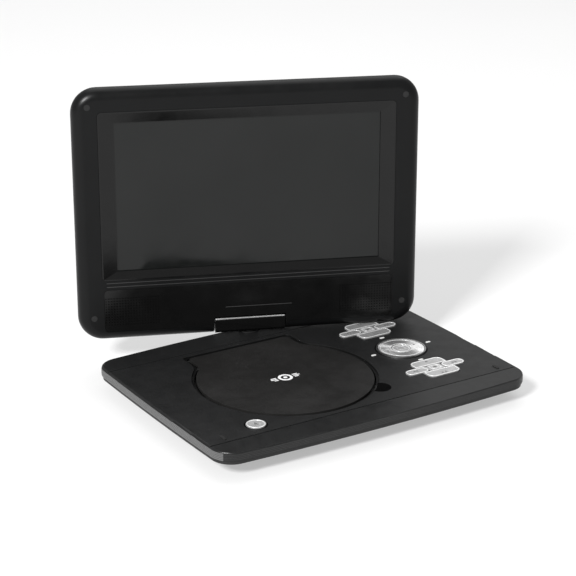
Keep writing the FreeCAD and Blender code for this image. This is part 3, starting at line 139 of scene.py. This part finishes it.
def bead(bm, points, width, low, high):
    """A raised rim that follows a closed outline, rounded over its top."""
    profile = [(0, low), (0.08, high * 0.75 + low * 0.25), (0.3, high), (0.7, high),
               (0.92, high * 0.75 + low * 0.25), (1, low)]
    rows = [loop_of(bm, inset(points, share * width), height) for share, height in profile]
    for lower, upper in zip(rows, rows[1:]):
        bridge(bm, lower, upper)
    bridge(bm, rows[-1], rows[0])


def finish_piece(bm, name, body, material, place=BASE, smooth=False):
    """Makes the built mesh an object that rides on a body."""
    bmesh.ops.recalc_face_normals(bm, faces=bm.faces)
    mesh = bpy.data.meshes.new(name)
    bm.to_mesh(mesh)
    bm.free()
    mesh.transform(place)
    mesh.materials.append(material)
    if smooth:
        mesh.shade_smooth()
    piece = bpy.data.objects.new(name, mesh)
    bpy.context.scene.collection.objects.link(piece)
    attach(piece, body)
    return piece


def top_outline(node):
    """The outer outline of a node's top face, anticlockwise."""
    bm = bmesh.new()
    bm.from_mesh(frame["nodes"][node].data)
    bmesh.ops.remove_doubles(bm, verts=bm.verts, dist=0.01 * MM)
    top = max(v.co.z for v in bm.verts)
    faces = {f for f in bm.faces if f.normal.z > 0.98 and f.calc_center_median().z > top - 0.1 * MM}
    links = {}
    for face in faces:
        for loop in face.loops:
            if len([f for f in loop.edge.link_faces if f in faces]) == 1:
                links.setdefault(loop.vert, []).append(loop.link_loop_next.vert)
    best = []
    while links:
        start = next(iter(links))
        chain = [start]
        here = links.pop(start)[0]
        while here in links:
            chain.append(here)
            here = links.pop(here)[0]
        points = [(v.co.x / MM, v.co.y / MM) for v in chain]
        if abs(area_of(points)) > abs(area_of(best)):
            best = points
    bm.free()
    return best if area_of(best) > 0 else best[::-1]


def area_of(points):
    pairs = zip(points, points[1:] + points[:1])
    return sum(ax * by - bx * ay for (ax, ay), (bx, by) in pairs) / 2


def hull(points):
    """The convex outline round some points, anticlockwise."""
    ordered = sorted(set(points))
    halves = []
    for row in (ordered, ordered[::-1]):
        chain = []
        for p in row:
            while len(chain) > 1:
                (ax, ay), (bx, by) = chain[-2:]
                if (bx - ax) * (p[1] - ay) - (by - ay) * (p[0] - ax) > 1e-9:
                    break
                chain.pop()
            chain.append(p)
        halves += chain[:-1]
    return halves


# ---------------------------------------------------------------- materials


class Finish:
    """A material whose patterns are laid out in millimetres over the piece."""

    def __init__(self, name, **sockets):
        self.material = bpy.data.materials.new(name)
        self.material.use_nodes = True
        tree = self.material.node_tree
        self.nodes, self.links = tree.nodes, tree.links
        self.surface = self.nodes["Principled BSDF"]
        for socket, number in sockets.items():
            self.surface.inputs[socket.replace("_", " ")].default_value = number
        where = self.nodes.new("ShaderNodeTexCoord")
        self.place = self.node("ShaderNodeVectorMath", operation="SCALE")
        self.place.inputs["Scale"].default_value = 1 / MM
        self.links.new(where.outputs["Object"], self.place.inputs[0])
        self.place = self.place.outputs[0]
        self.bumped = None

    def node(self, kind, **settings):
        made = self.nodes.new(kind)
        for name, setting in settings.items():
            setattr(made, name, setting)
        return made

    def feed(self, node, **inputs):
        """Sets or links inputs by name, with underscores for spaces."""
        for name, source in inputs.items():
            socket = node.inputs[name.replace("_", " ")]
            if isinstance(source, bpy.types.NodeSocket):
                self.links.new(source, socket)
            else:
                socket.default_value = source
        return node

    def noise(self, size, detail=2.0, stretch=(1, 1, 1)):
        """Soft noise with features of about this size."""
        moved = self.node("ShaderNodeVectorMath", operation="MULTIPLY")
        self.links.new(self.place, moved.inputs[0])
        moved.inputs[1].default_value = [1 / (size * s) for s in stretch]
        texture = self.feed(self.node("ShaderNodeTexNoise"), Vector=moved.outputs[0], Scale=1.0,
                            Detail=detail)
        return texture.outputs["Fac"]

    def cells(self, size):
        """Rounded cells of about this size."""
        texture = self.feed(self.node("ShaderNodeTexVoronoi", feature="SMOOTH_F1"),
                            Vector=self.place, Scale=1 / size, Smoothness=0.6)
        return texture.outputs["Distance"]

    def axis(self, name):
        parts = self.node("ShaderNodeSeparateXYZ")
        self.links.new(self.place, parts.inputs[0])
        return parts.outputs[name]

    def calculate(self, operation, first, second=0.0):
        maths = self.node("ShaderNodeMath", operation=operation)
        for socket, source in zip(maths.inputs, (first, second)):
            if isinstance(source, bpy.types.NodeSocket):
                self.links.new(source, socket)
            else:
                socket.default_value = source
        return maths.outputs[0]

    def source(self, name):
        """What feeds one of the surface's inputs."""
        return self.surface.inputs[name].links[0].from_socket

    def remap(self, source, low, high, to_low=0.0, to_high=1.0):
        changed = self.node("ShaderNodeMapRange")
        self.feed(changed, Value=source, From_Min=low, From_Max=high, To_Min=to_low, To_Max=to_high)
        return changed.outputs[0]

    def blend(self, share, first, second):
        """A colour between two, by a share."""
        mixed = self.node("ShaderNodeMix", data_type="RGBA")
        for socket, source in zip((mixed.inputs[0], mixed.inputs[6], mixed.inputs[7]),
                                  (share, first, second)):
            if isinstance(source, bpy.types.NodeSocket):
                self.links.new(source, socket)
            elif isinstance(source, float):
                socket.default_value = source
            else:
                socket.default_value = (*source, 1)
        return mixed.outputs[2]

    def bump(self, height, depth, strength=1.0):
        """Adds relief of this depth to what is there."""
        bump = self.feed(self.node("ShaderNodeBump"), Height=height, Distance=depth * MM,
                         Strength=strength)
        if self.bumped is not None:
            self.links.new(self.bumped, bump.inputs["Normal"])
        self.bumped = bump.outputs[0]
        self.links.new(self.bumped, self.surface.inputs["Normal"])

    def edges(self, radius=0.5, low=0.02, high=0.25):
        """How near a spot is to an outer edge, broken up as wear is."""
        soft = self.feed(self.node("ShaderNodeBevel", samples=4), Radius=radius * MM)
        true = self.node("ShaderNodeNewGeometry")
        same = self.node("ShaderNodeVectorMath", operation="DOT_PRODUCT")
        self.links.new(soft.outputs[0], same.inputs[0])
        self.links.new(true.outputs["Normal"], same.inputs[1])
        away = self.calculate("SUBTRACT", 1.0, same.outputs["Value"])
        worn = self.calculate("MULTIPLY", away, self.remap(self.noise(3.0, 4), 0.3, 0.7, 0.35, 1.0))
        return self.remap(worn, low, high)

    def wire(self, **inputs):
        self.feed(self.surface, **inputs)
        return self


def grey(level, warm=0.0):
    return (level * (1 + warm), level, level * (1 - warm))


def plastic(name, tone, rough, specular, pebble=0.35, depth=0.02, wear=0.5, mottle=0.1):
    """Moulded plastic with a fine grain, a little uneven in tone and shine, paler along its edges."""
    finish = Finish(name, Specular_IOR_Level=specular)
    worn = finish.edges()
    patches = finish.noise(30, 6)
    grain = finish.cells(pebble)
    shade = finish.remap(patches, 0.3, 0.7, 1 - mottle, 1 + mottle)
    dark = finish.blend(finish.remap(patches, 0.3, 0.7), [c * (1 - mottle) for c in tone],
                        [c * (1 + mottle) for c in tone])
    pale = [c * 2.2 + 0.01 for c in tone]
    finish.wire(Base_Color=finish.blend(finish.calculate("MULTIPLY", worn, wear), dark, pale))
    smudge = finish.remap(finish.noise(9, 4), 0.35, 0.75, -0.04, 0.06)
    roughness = finish.calculate("ADD", finish.calculate("MULTIPLY", shade, rough), smudge)
    finish.wire(Roughness=finish.calculate("MAXIMUM", roughness, 0.03))
    finish.bump(grain, depth)
    finish.bump(finish.noise(1.6, 3), depth * 1.2, 0.6)
    return finish


def metal(name, tone, rough, grain=0.25, depth=0.004, stretch=(1, 1, 1), **sockets):
    """Plated or turned metal: fine satin lines, an uneven shine, brighter on its edges."""
    finish = Finish(name, **{"Metallic": 1.0, **sockets})
    worn = finish.edges(0.3)
    lines = finish.noise(grain, 3, stretch)
    tint = finish.blend(finish.remap(finish.noise(7, 3), 0.3, 0.7), [c * 0.86 for c in tone], tone)
    finish.wire(Base_Color=finish.blend(worn, tint, [min(1.0, c * 1.2) for c in tone]))
    smudge = finish.remap(finish.noise(4, 4), 0.3, 0.75, -0.05, 0.09)
    finish.wire(Roughness=finish.calculate("ADD", smudge, rough))
    finish.bump(lines, depth)
    return finish


def print_ink(name, tone):
    """Pad-printed ink, a little thin in places."""
    finish = Finish(name, Specular_IOR_Level=0.3)
    thin = finish.remap(finish.noise(0.7, 4), 0.3, 0.7)
    finish.wire(Base_Color=finish.blend(thin, [c * 0.82 for c in tone], tone))
    finish.wire(Roughness=finish.remap(finish.noise(0.4, 2), 0.3, 0.7, 0.4, 0.6))
    finish.bump(finish.noise(0.2, 2), 0.005)
    return finish


def case_top():
    """The base's top shell: smoother on its front strip, with painted shade in its recesses and painted
    light on its side skirts.
    """
    finish = plastic("case_top_black", grey(0.0085, -0.02), 0.48, 0.31, 0.6, 0.05, 0.35, 0.06)
    strip_edge = -73.5
    height, depth = finish.axis("Z"), finish.axis("Y")
    sunk = finish.remap(height, 19.9, 19.2)
    behind = finish.calculate("GREATER_THAN", depth, strip_edge)
    above = finish.calculate("GREATER_THAN", height, 18.1)
    # Painted shade: sunk areas behind the front strip, such as the rebate round the door and the scoop,
    # are coloured near black.
    painted_recess_shade = finish.calculate("MULTIPLY", sunk, finish.calculate("MULTIPLY", behind, above))
    colour = finish.source("Base Color")
    finish.wire(Base_Color=finish.blend(painted_recess_shade, colour, grey(0.0015)))
    # Painted light: the left and right side skirts are coloured pale grey, as if lit by the key light.
    aside = finish.calculate("GREATER_THAN", finish.calculate("ABSOLUTE", finish.axis("X")), 121.5)
    painted_side_light = finish.calculate("MULTIPLY", aside, finish.calculate("LESS_THAN", height, 18.6))
    dark = finish.source("Base Color")
    finish.wire(Base_Color=finish.blend(painted_side_light, dark, grey(0.11)))
    strip = finish.calculate("LESS_THAN", depth, strip_edge)
    skirt = finish.calculate("LESS_THAN", height, 18.1)
    smooth = finish.calculate("MAXIMUM", strip, skirt)
    rough = finish.source("Roughness")
    less = finish.calculate("MULTIPLY", smooth, -0.12)
    finish.wire(Roughness=finish.calculate("ADD", rough, less))
    return finish


def screen_face():
    """A dark display behind clear glass, faintly green and a little cloudy in tone and shine."""
    finish = Finish("screen_glass", Specular_IOR_Level=0.32)
    cloud = finish.remap(finish.noise(60, 2), 0.3, 0.7)
    finish.wire(Base_Color=finish.blend(cloud, (0.0045, 0.005, 0.0048), (0.0065, 0.007, 0.0068)))
    finish.wire(Roughness=finish.remap(finish.noise(14, 4), 0.35, 0.75, 0.06, 0.15))
    finish.bump(finish.noise(40, 1), 0.05, 0.3)
    return finish


def board():
    """A circuit board: solder resist over copper tracks."""
    finish = Finish("board_green", Specular_IOR_Level=0.5)
    track = finish.node("ShaderNodeTexBrick")
    finish.feed(track, Vector=finish.place, Scale=0.12, Mortar_Size=0.03)
    share = finish.remap(track.outputs["Fac"], 0, 1)
    finish.wire(Base_Color=finish.blend(share, (0.008, 0.07, 0.028), (0.03, 0.14, 0.05)))
    finish.wire(Roughness=finish.remap(finish.noise(5, 3), 0.3, 0.7, 0.3, 0.45))
    finish.bump(share, 0.03)
    return finish


def spun(name, rough):
    """Turned metal: rings about the middle, which spread a highlight into a bow tie."""
    finish = metal(name, grey(1.0), rough, 0.4, 0.002, Anisotropic=0.85, Metallic=0.9)
    tangent = finish.node("ShaderNodeTangent", direction_type="RADIAL", axis="Z")
    finish.wire(Tangent=tangent.outputs[0])
    return finish


# After the name: plastic takes tone, roughness, specular level, pebble size and depth in
# millimetres, edge wear and mottle. Metal takes tone, roughness, grain size and depth.
looks = {
    "case_top": case_top(),
    "door": plastic("door_black", grey(0.011, 0.03), 0.48, 0.34, 0.7, 0.06, 0.4, 0.12),
    "tub": plastic("tub_black", grey(0.011), 0.5, 0.35, 0.5, 0.04),
    "lid": plastic("lid_black", grey(0.0045, -0.03), 0.34, 0.16, 0.3, 0.01, 0.3, 0.1),
    "gloss": plastic("gloss_black", grey(0.0035), 0.16, 0.29, 0.3, 0.003, 0.2, 0.1),
    "well": plastic("well_grey", grey(0.03), 0.5, 0.4, 0.5, 0.03),
    "inner": plastic("inner_plastic", grey(0.05), 0.5, 0.4, 0.5, 0.03),
    "rubber": plastic("rubber_black", grey(0.012), 0.75, 0.3, 0.4, 0.03, 0.2),
    "pad": plastic("rubber_grey", grey(0.014), 0.6, 0.25, 0.4, 0.02, 0.2),
    "keys": metal("satin_silver", grey(0.58), 0.4, 0.35, 0.002, Metallic=0.7),
    # Real raised rims, coloured near white as a painted highlight round each key, ring and button.
    "key_rim": metal("rim_painted_highlight", grey(0.95), 0.3, 0.5, 0.0005, Metallic=0.4),
    "spun": spun("spun_silver", 0.34),
    "chrome": metal("bright_chrome", grey(0.92), 0.1, 0.8, 0.001),
    "steel": metal("steel", grey(0.5), 0.34, 0.3, 0.004),
    "button": metal("button_silver", grey(0.75), 0.36, 0.35, 0.002, Metallic=0.7),
    "sheet": metal("sheet_metal", grey(0.6, 0.01), 0.4, 0.4, 0.004),
    "brass": metal("brass", (0.72, 0.5, 0.2), 0.3, 0.3, 0.004),
    "mark": print_ink("mark_silver", (0.72, 0.72, 0.71)),
    "ink": print_ink("door_ink", (0.86, 0.86, 0.86)),
    "cells": plastic("cell_wrap", (0.02, 0.09, 0.3), 0.35, 0.5, 0.6, 0.01),
    "lens": plastic("lens_glass", (0.02, 0.01, 0.05), 0.04, 0.8, 0.5, 0.001),
    "cone": plastic("speaker_cone", grey(0.014), 0.7, 0.2, 0.6, 0.05),
    "glass": screen_face(),
    "board": board(),
    "etched": metal("etched_silver", grey(0.22), 0.5, 0.3, 0.002, Metallic=0.6),
    # Painted shade: a near-black, barely shiny finish laid where recesses, gaps and holes fall into
    # shade.
    "hole": plastic("painted_shade_black", grey(0.002), 0.7, 0.02, 0.4, 0.01, 0.03),
    # Real moulded ridges, coloured paler than the black case as a painted highlight.
    "line": plastic("ridge_painted_highlight", grey(0.03), 0.2, 0.5, 0.4, 0.003, 0.2),
}

KEYS = [f"{block}_{side}_key" for block in ("rear_block", "front_block")
        for side in ("rear", "front", "left", "right", "centre")]

DRESS = {
    "case_top": ["top_case"],
    "door": ["disc_door"],
    "tub": ["bottom_case", "battery_cover", "power_slider", "hinge_turntable", "tilt_brackets",
            "door_hinge_pins"],
    "lid": ["lid_front_frame", "lid_back_cover"],
    "gloss": ["screen_bezel", "speaker_panel", "hinge_block"],
    "well": ["disc_well", "door_latch", "nav_gimbal"],
    "inner": ["optical_pickup", "dc_inlet", "signal_jacks", "spindle_hub"],
    "rubber": ["lid_bumpers", "rubber_feet", "loader_dampers"],
    "pad": ["screw_pads"],
    "keys": KEYS,
    "button": ["open_button", "ok_button"],
    "spun": ["nav_pad"],
    "chrome": ["hinge_trim"],
    "steel": ["case_screws", "loader_screws", "lid_screws", "sled_rails",
              "tilt_shafts", "swivel_retainer", "lead_screw", "nav_ring"],
    "sheet": ["loader_chassis", "sled_motor", "spindle_motor", "lcd_panel"],
    "brass": ["swivel_bush"],
    "mark": ["direction_marks"],
    "cells": ["battery_cells"],
    "lens": ["pickup_lens"],
    "cone": ["left_speaker", "right_speaker"],
    "glass": ["screen_glass"],
    "board": ["key_board", "main_board", "lcd_driver_board"],
}
for look, nodes in DRESS.items():
    for node in nodes:
        for material_slot in frame["nodes"][node].material_slots:
            material_slot.material = looks[look].material

# ---------------------------------------------------------------- keys

SUNK = 0.05
LOW_MARK, FINE_MARK, SLIGHT_MARK, SYMBOL_MARK, RIM_MARK = 0.04, 0.05, 0.08, 0.1, 0.12
KEY_RIM_INSET, KEY_RIM, CENTRE_RIM, CENTRE_FRAME_INSET, CENTRE_FRAME = 0.35, 0.7, 0.4, 1.6, 0.45
SYMBOL_SHIFT = 1.6


def arrow(x, y, size, angle):
    return turned([(-size * 0.5, size * 0.55), (-size * 0.5, -size * 0.55), (size * 0.5, 0)],
                  x, y, angle)


def bar(x, y, width, height):
    return [(x - width / 2, y - height / 2), (x + width / 2, y - height / 2),
            (x + width / 2, y + height / 2), (x - width / 2, y + height / 2)]


def key_symbols(block, side, x, y):
    """Plain transport symbols, as outlines."""
    right, left, up = 0, math.pi, math.pi / 2
    if side == "centre":
        return [arrow(x, y, 2.6, right)] if block == "rear_block" else [bar(x, y, 2.3, 2.3)]
    if side == "rear":
        return [bar(x - 1.1, y, 0.9, 2.6), bar(x + 1.1, y, 0.9, 2.6)] if block == "rear_block" \
            else [arrow(x, y, 2.4, up)]
    if side == "front":
        return [bar(x, y + 1, 4, 0.6), bar(x, y - 0.4, 4, 0.6)] if block == "rear_block" \
            else [bar(x - 1.4, y, 1.6, 1.6), bar(x + 1.4, y, 1.6, 1.6)]
    way = left if side == "left" else right
    step = -1.2 if side == "left" else 1.2
    return [arrow(x - step, y, 2.2, way), arrow(x + step, y, 2.2, way)]


for node in KEYS:
    block, side = node[:-4].rsplit("_", 1)
    low, high = span(node)
    outline = inset(top_outline(node), KEY_RIM_INSET)
    # The rim's near-white colour is a painted highlight along the key's outline.
    bm = bmesh.new()
    bead(bm, outline, CENTRE_RIM if side == "centre" else KEY_RIM, high.z - SUNK,
         high.z + RIM_MARK)
    if side == "centre":
        bead(bm, inset(outline, CENTRE_FRAME_INSET), CENTRE_FRAME, high.z - SUNK,
             high.z + SYMBOL_MARK)
    finish_piece(bm, node + "_rim", node, looks["key_rim"].material)
    bm = bmesh.new()
    centre = (low + high) / 2
    reach = {"left": -SYMBOL_SHIFT, "right": SYMBOL_SHIFT}.get(side, 0)
    lift = {"rear": SYMBOL_SHIFT, "front": -SYMBOL_SHIFT}.get(side, 0)
    for shape in key_symbols(block, side, centre.x + reach, centre.y + lift):
        slab(bm, shape, high.z - SUNK, high.z + SYMBOL_MARK)
    finish_piece(bm, node + "_symbol", node, looks["etched"].material)

WEB_REACH, WEB_WIDTH, WEB_LENGTH, WEB_THICK, WEB_BELOW = 5.45, 1.5, 7.4, 1.2, 0.25
for block in ("rear_block", "front_block"):
    centre = middle(block + "_centre_key")
    top = span(block + "_left_key")[1].z
    bm = bmesh.new()
    for side in (1, -1):
        slab(bm, bar(centre.x + side * WEB_REACH, centre.y, WEB_WIDTH, WEB_LENGTH),
             top - WEB_THICK, top - WEB_BELOW)
    finish_piece(bm, block + "_web", "base", looks["keys"].material)

pad = middle("nav_pad")
pad_top = span("nav_pad")[1].z
bm = bmesh.new()
NAV_RINGS = ((15.2, 0.5), (8.2, 0.45))
NAV_ARROW_REACH, NAV_ARROW = 11.7, 1.9
for radius, width in NAV_RINGS:
    bead(bm, circle(pad.x, pad.y, radius, 96), width, pad_top - SUNK, pad_top + SLIGHT_MARK)
finish_piece(bm, "nav_pad_rings", "nav_pad", looks["key_rim"].material, smooth=True)
bm = bmesh.new()
for quarter in range(4):
    angle = quarter * math.pi / 2
    x = pad.x + NAV_ARROW_REACH * math.cos(angle)
    y = pad.y + NAV_ARROW_REACH * math.sin(angle)
    slab(bm, arrow(x, y, NAV_ARROW, angle), pad_top - SUNK, pad_top + SLIGHT_MARK, 0.04)
finish_piece(bm, "nav_pad_arrows", "nav_pad", looks["etched"].material)
ok = middle("ok_button")
ok_top = span("ok_button")[1].z
bm = bmesh.new()
OK_RIM_RADIUS, OK_RIM, OK_INNER_RADIUS, OK_INNER = 6.3, 0.6, 3.2, 0.3
bead(bm, circle(ok.x, ok.y, OK_RIM_RADIUS, 64), OK_RIM, ok_top - SUNK, ok_top + RIM_MARK)
bead(bm, circle(ok.x, ok.y, OK_INNER_RADIUS, 48), OK_INNER, ok_top - SUNK, ok_top + FINE_MARK)
finish_piece(bm, "ok_button_rings", "ok_button", looks["key_rim"].material,
             smooth=True)

button = middle("open_button")
button_top = span("open_button")[1].z
bm = bmesh.new()
OPEN_RIM_RADIUS, OPEN_RIM, OPEN_RIM_MARK = 6.3, 0.7, 0.16
bead(bm, circle(button.x, button.y, OPEN_RIM_RADIUS, 64), OPEN_RIM, button_top - SUNK,
     button_top + OPEN_RIM_MARK)
finish_piece(bm, "open_button_rim", "open_button", looks["key_rim"].material,
             smooth=True)
bm = bmesh.new()
slab(bm, arrow(button.x, button.y + 0.9, 3.0, math.pi / 2), button_top - SUNK,
     button_top + SLIGHT_MARK)
slab(bm, bar(button.x, button.y - 1.6, 3.3, 0.7), button_top - SUNK, button_top + SLIGHT_MARK)
finish_piece(bm, "open_button_symbol", "open_button", looks["etched"].material)

# ---------------------------------------------------------------- door and base

# Painted shade: a near-black ring laid round the nav ring and the open button stands for the shaded gap
# round each.
SURROUND_REACH, SURROUND, SURROUND_MARK = 1.3, 1.0, 0.03
case_top_height = span("top_case")[1].z
bm = bmesh.new()
for node in ("nav_ring", "open_button"):
    round_low, round_high = span(node)
    round_middle = (round_low + round_high) / 2
    reach = (round_high.x - round_low.x) / 2
    bead(bm, circle(round_middle.x, round_middle.y, reach + SURROUND_REACH, 96), SURROUND,
         case_top_height - SUNK, case_top_height + SURROUND_MARK)
finish_piece(bm, "round_gap_shade", "base", looks["hole"].material)

door_top = span("disc_door")[1].z
hub = middle("spindle_hub")
bm = bmesh.new()
DISC_RING_RADIUS, DISC_RING, DISC_DOT, DISC_BAR = 5.4, 2.2, 1.5, 1.1
bead(bm, circle(hub.x, hub.y, DISC_RING_RADIUS, 64), DISC_RING, door_top - SUNK,
     door_top + LOW_MARK)
slab(bm, circle(hub.x, hub.y, DISC_DOT, 32), door_top - SUNK, door_top + LOW_MARK, 0.02)
for side in (1, -1):
    for row, length in ((1.9, 4.2), (-1.9, 3.2), (0, 5)):
        slab(bm, bar(hub.x + side * (6.6 + length / 2), hub.y + row, length, DISC_BAR),
             door_top - SUNK, door_top + LOW_MARK, 0.02)
finish_piece(bm, "door_disc_symbol", "door", looks["ink"].material)

case_low, case_high = span("top_case")
SCOOP_X, SCOOP_Y, SCOOP_RADIUS, SCOOP_DEPTH = 22, -52.7, 8, 1.7
ball = (SCOOP_RADIUS ** 2 + SCOOP_DEPTH ** 2) / (2 * SCOOP_DEPTH)
# The scoop's near-black sheet of painted shade stops inside the rebate round the door.
door_reach = (span("disc_door")[1].x - span("disc_door")[0].x) / 2 + 2.6


def dish_height(x, y):
    """Just above the scooped surface."""
    reach = math.hypot(x - SCOOP_X, y - SCOOP_Y)
    return case_high.z - SCOOP_DEPTH + ball - math.sqrt(ball ** 2 - reach ** 2) + 0.04


# Painted shade: a near-black sheet laid just above the scoop's dished surface.
bm = bmesh.new()
rows = []
for share in (0.97, 0.8, 0.6, 0.4, 0.2):
    row = []
    for x, y in circle(SCOOP_X, SCOOP_Y, SCOOP_RADIUS * share, 48):
        short = door_reach / max(math.hypot(x - hub.x, y - hub.y), 0.1)
        if short > 1:
            x, y = hub.x + (x - hub.x) * short, hub.y + (y - hub.y) * short
        row.append(bm.verts.new((x * MM, y * MM, dish_height(x, y) * MM)))
    rows.append(row)
for outer, inner in zip(rows, rows[1:]):
    bridge(bm, outer, inner)
bm.faces.new(rows[-1])
finish_piece(bm, "scoop_shade_sheet", "base", looks["hole"].material, smooth=True)
# Ridges round the skirt, their paler colour a painted highlight.
skirt = hull([(round(v.co.x / MM, 3), round(v.co.y / MM, 3))
              for v in frame["nodes"]["top_case"].data.vertices if v.co.z / MM < case_high.z - 1.9])
bm = bmesh.new()
outer, inner = inset(skirt, -0.12), inset(skirt, 0.1)
RIDGES, FIRST_RIDGE, RIDGE_PITCH = 4, 0.9, 1.1
for row in range(RIDGES):
    height = case_low.z + FIRST_RIDGE + row * RIDGE_PITCH
    rows = [loop_of(bm, inner, height), loop_of(bm, outer, height + 0.08),
            loop_of(bm, outer, height + 0.22), loop_of(bm, inner, height + 0.3)]
    for lower, upper in zip(rows, rows[1:]):
        bridge(bm, lower, upper)
    bridge(bm, rows[-1], rows[0])
finish_piece(bm, "skirt_ridge_highlights", "base", looks["line"].material)

# ---------------------------------------------------------------- lid

DOT_COLUMNS, DOT_ROWS, DOT_PITCH, DOT_RADIUS = 20, 11, 2, 0.5
FIRST_DOT_ACROSS, FIRST_DOT_UP = 67, 5.5
panel_low, panel_high = span("speaker_panel", LID)
# Painted shade: near-black dots stand for the shade inside the speaker grille holes.
bm = bmesh.new()
for side in (1, -1):
    for column in range(DOT_COLUMNS):
        for row in range(DOT_ROWS):
            u = side * (FIRST_DOT_ACROSS + column * DOT_PITCH)
            v = panel_low.y + FIRST_DOT_UP + row * DOT_PITCH
            slab(bm, circle(u, v, DOT_RADIUS, 8), panel_high.z - SUNK, panel_high.z + 0.06, 0.03)
finish_piece(bm, "grille_hole_shade", "lid", looks["hole"].material, LID)

# Ridges across the lid's bezel, their paler colour a painted highlight.
bm = bmesh.new()
for v in (36.2, 33.4):
    slab(bm, bar(0, v, 208, 0.5), panel_high.z - 0.3, panel_high.z + 0.25, 0.15)
slab(bm, bar(6.5, 13, 49, 0.5), panel_high.z - 0.3, panel_high.z + 0.15, 0.1)
finish_piece(bm, "lid_ridge_highlights", "lid", looks["line"].material, LID)

trim_low, trim_high = span("hinge_trim", LID)
block_high = span("hinge_block", LID)[1]
bm = bmesh.new()
trim_turns = [math.pi * i / 10 for i in range(11)]
trim_half = (trim_high.y - trim_low.y) / 2
trim_rows = []
for u in (trim_low.x, trim_low.x + 0.5, trim_high.x - 0.5, trim_high.x):
    share = 0.6 if u in (trim_low.x, trim_high.x) else 1
    trim_rows.append([bm.verts.new((u * MM, (trim_low.y + trim_half * (1 - math.cos(t))) * MM,
                                    (block_high.z - 0.3 + 0.75 * share * math.sin(t)) * MM))
                      for t in trim_turns])
for lower, upper in zip(trim_rows, trim_rows[1:]):
    bridge(bm, lower, upper)
for row in (trim_rows[0], trim_rows[-1]):
    bm.faces.new(row)
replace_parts(finish_piece(bm, "hinge_trim_bar", "swivel", looks["chrome"].material, LID,
                         smooth=True), "hinge_trim")

# ---------------------------------------------------------------- floor, lights and camera


def floor():
    bm = bmesh.new()
    bmesh.ops.create_grid(bm, x_segments=8, y_segments=8, size=6)
    mesh = bpy.data.meshes.new("floor")
    bm.to_mesh(mesh)
    bm.free()
    finish = Finish("floor_white", Specular_IOR_Level=0.2)
    finish.wire(Base_Color=finish.blend(finish.noise(400, 2), (0.41, 0.41, 0.41), (0.43, 0.43, 0.43)),
                Roughness=0.9, Emission_Color=(1, 1, 1, 1), Emission_Strength=0.42)
    mesh.materials.append(finish.material)
    thing = bpy.data.objects.new("floor", mesh)
    thing.location.z = -0.1 * MM
    bpy.context.scene.collection.objects.link(thing)


def area_light(name, location, target, size, power):
    data = bpy.data.lights.new(name, "AREA")
    data.shape = "RECTANGLE"
    data.size, data.size_y = size
    data.energy = power
    lamp = bpy.data.objects.new(name, data)
    bpy.context.scene.collection.objects.link(lamp)
    lamp.location = location
    lamp.rotation_mode = "QUATERNION"
    way = Vector(target) - Vector(location)
    lamp.rotation_quaternion = way.to_track_quat("-Z", "Y")


def surroundings():
    """A white room: full white to the camera, dimmer as light and in what the player reflects."""
    world = bpy.data.worlds.new("studio")
    bpy.context.scene.world = world
    world.use_nodes = True
    nodes, links = world.node_tree.nodes, world.node_tree.links
    seen = nodes.new("ShaderNodeLightPath")
    strength = nodes.new("ShaderNodeMapRange")
    strength.inputs["To Min"].default_value = 0.45
    strength.inputs["To Max"].default_value = 1.0
    links.new(seen.outputs["Is Camera Ray"], strength.inputs["Value"])
    background = nodes["Background"]
    background.inputs["Color"].default_value = (1, 1, 1, 1)
    links.new(strength.outputs[0], background.inputs["Strength"])


floor()
surroundings()
bpy.context.scene.view_settings.view_transform = "Standard"
key_way = Vector((-0.71, -0.38, 0.59)).normalized()
KEY_DISTANCE, KEY_SIZE, KEY_POWER = 4.5, 0.86, 290
area_light("key", key_way * KEY_DISTANCE, (0, 0, 0.05), (KEY_SIZE, KEY_SIZE), KEY_POWER)
TOP_SIZE, TOP_POWER = 1.8, 16
area_light("top", (0.5, 0.7, 1.7), (0, 0, 0), (TOP_SIZE, TOP_SIZE), TOP_POWER)


def camera():
    data = bpy.data.cameras.new("camera")
    data.lens = 116.3
    data.sensor_width = 36
    eye = Vector((-0.6589, -1.0092, 0.5302))
    target = Vector((-0.02042, -0.0012, 0.08448))
    forward = (target - eye).normalized()
    right = forward.cross(Vector((0, 0, 1))).normalized()
    up = right.cross(forward)
    roll = math.radians(0.22)
    across = right * math.cos(roll) + up * math.sin(roll)
    upward = up * math.cos(roll) - right * math.sin(roll)
    thing = bpy.data.objects.new("camera", data)
    bpy.context.scene.collection.objects.link(thing)
    matrix = Matrix((across, upward, -forward)).transposed().to_4x4()
    matrix.translation = eye
    thing.matrix_world = matrix
    bpy.context.scene.camera = thing


camera()
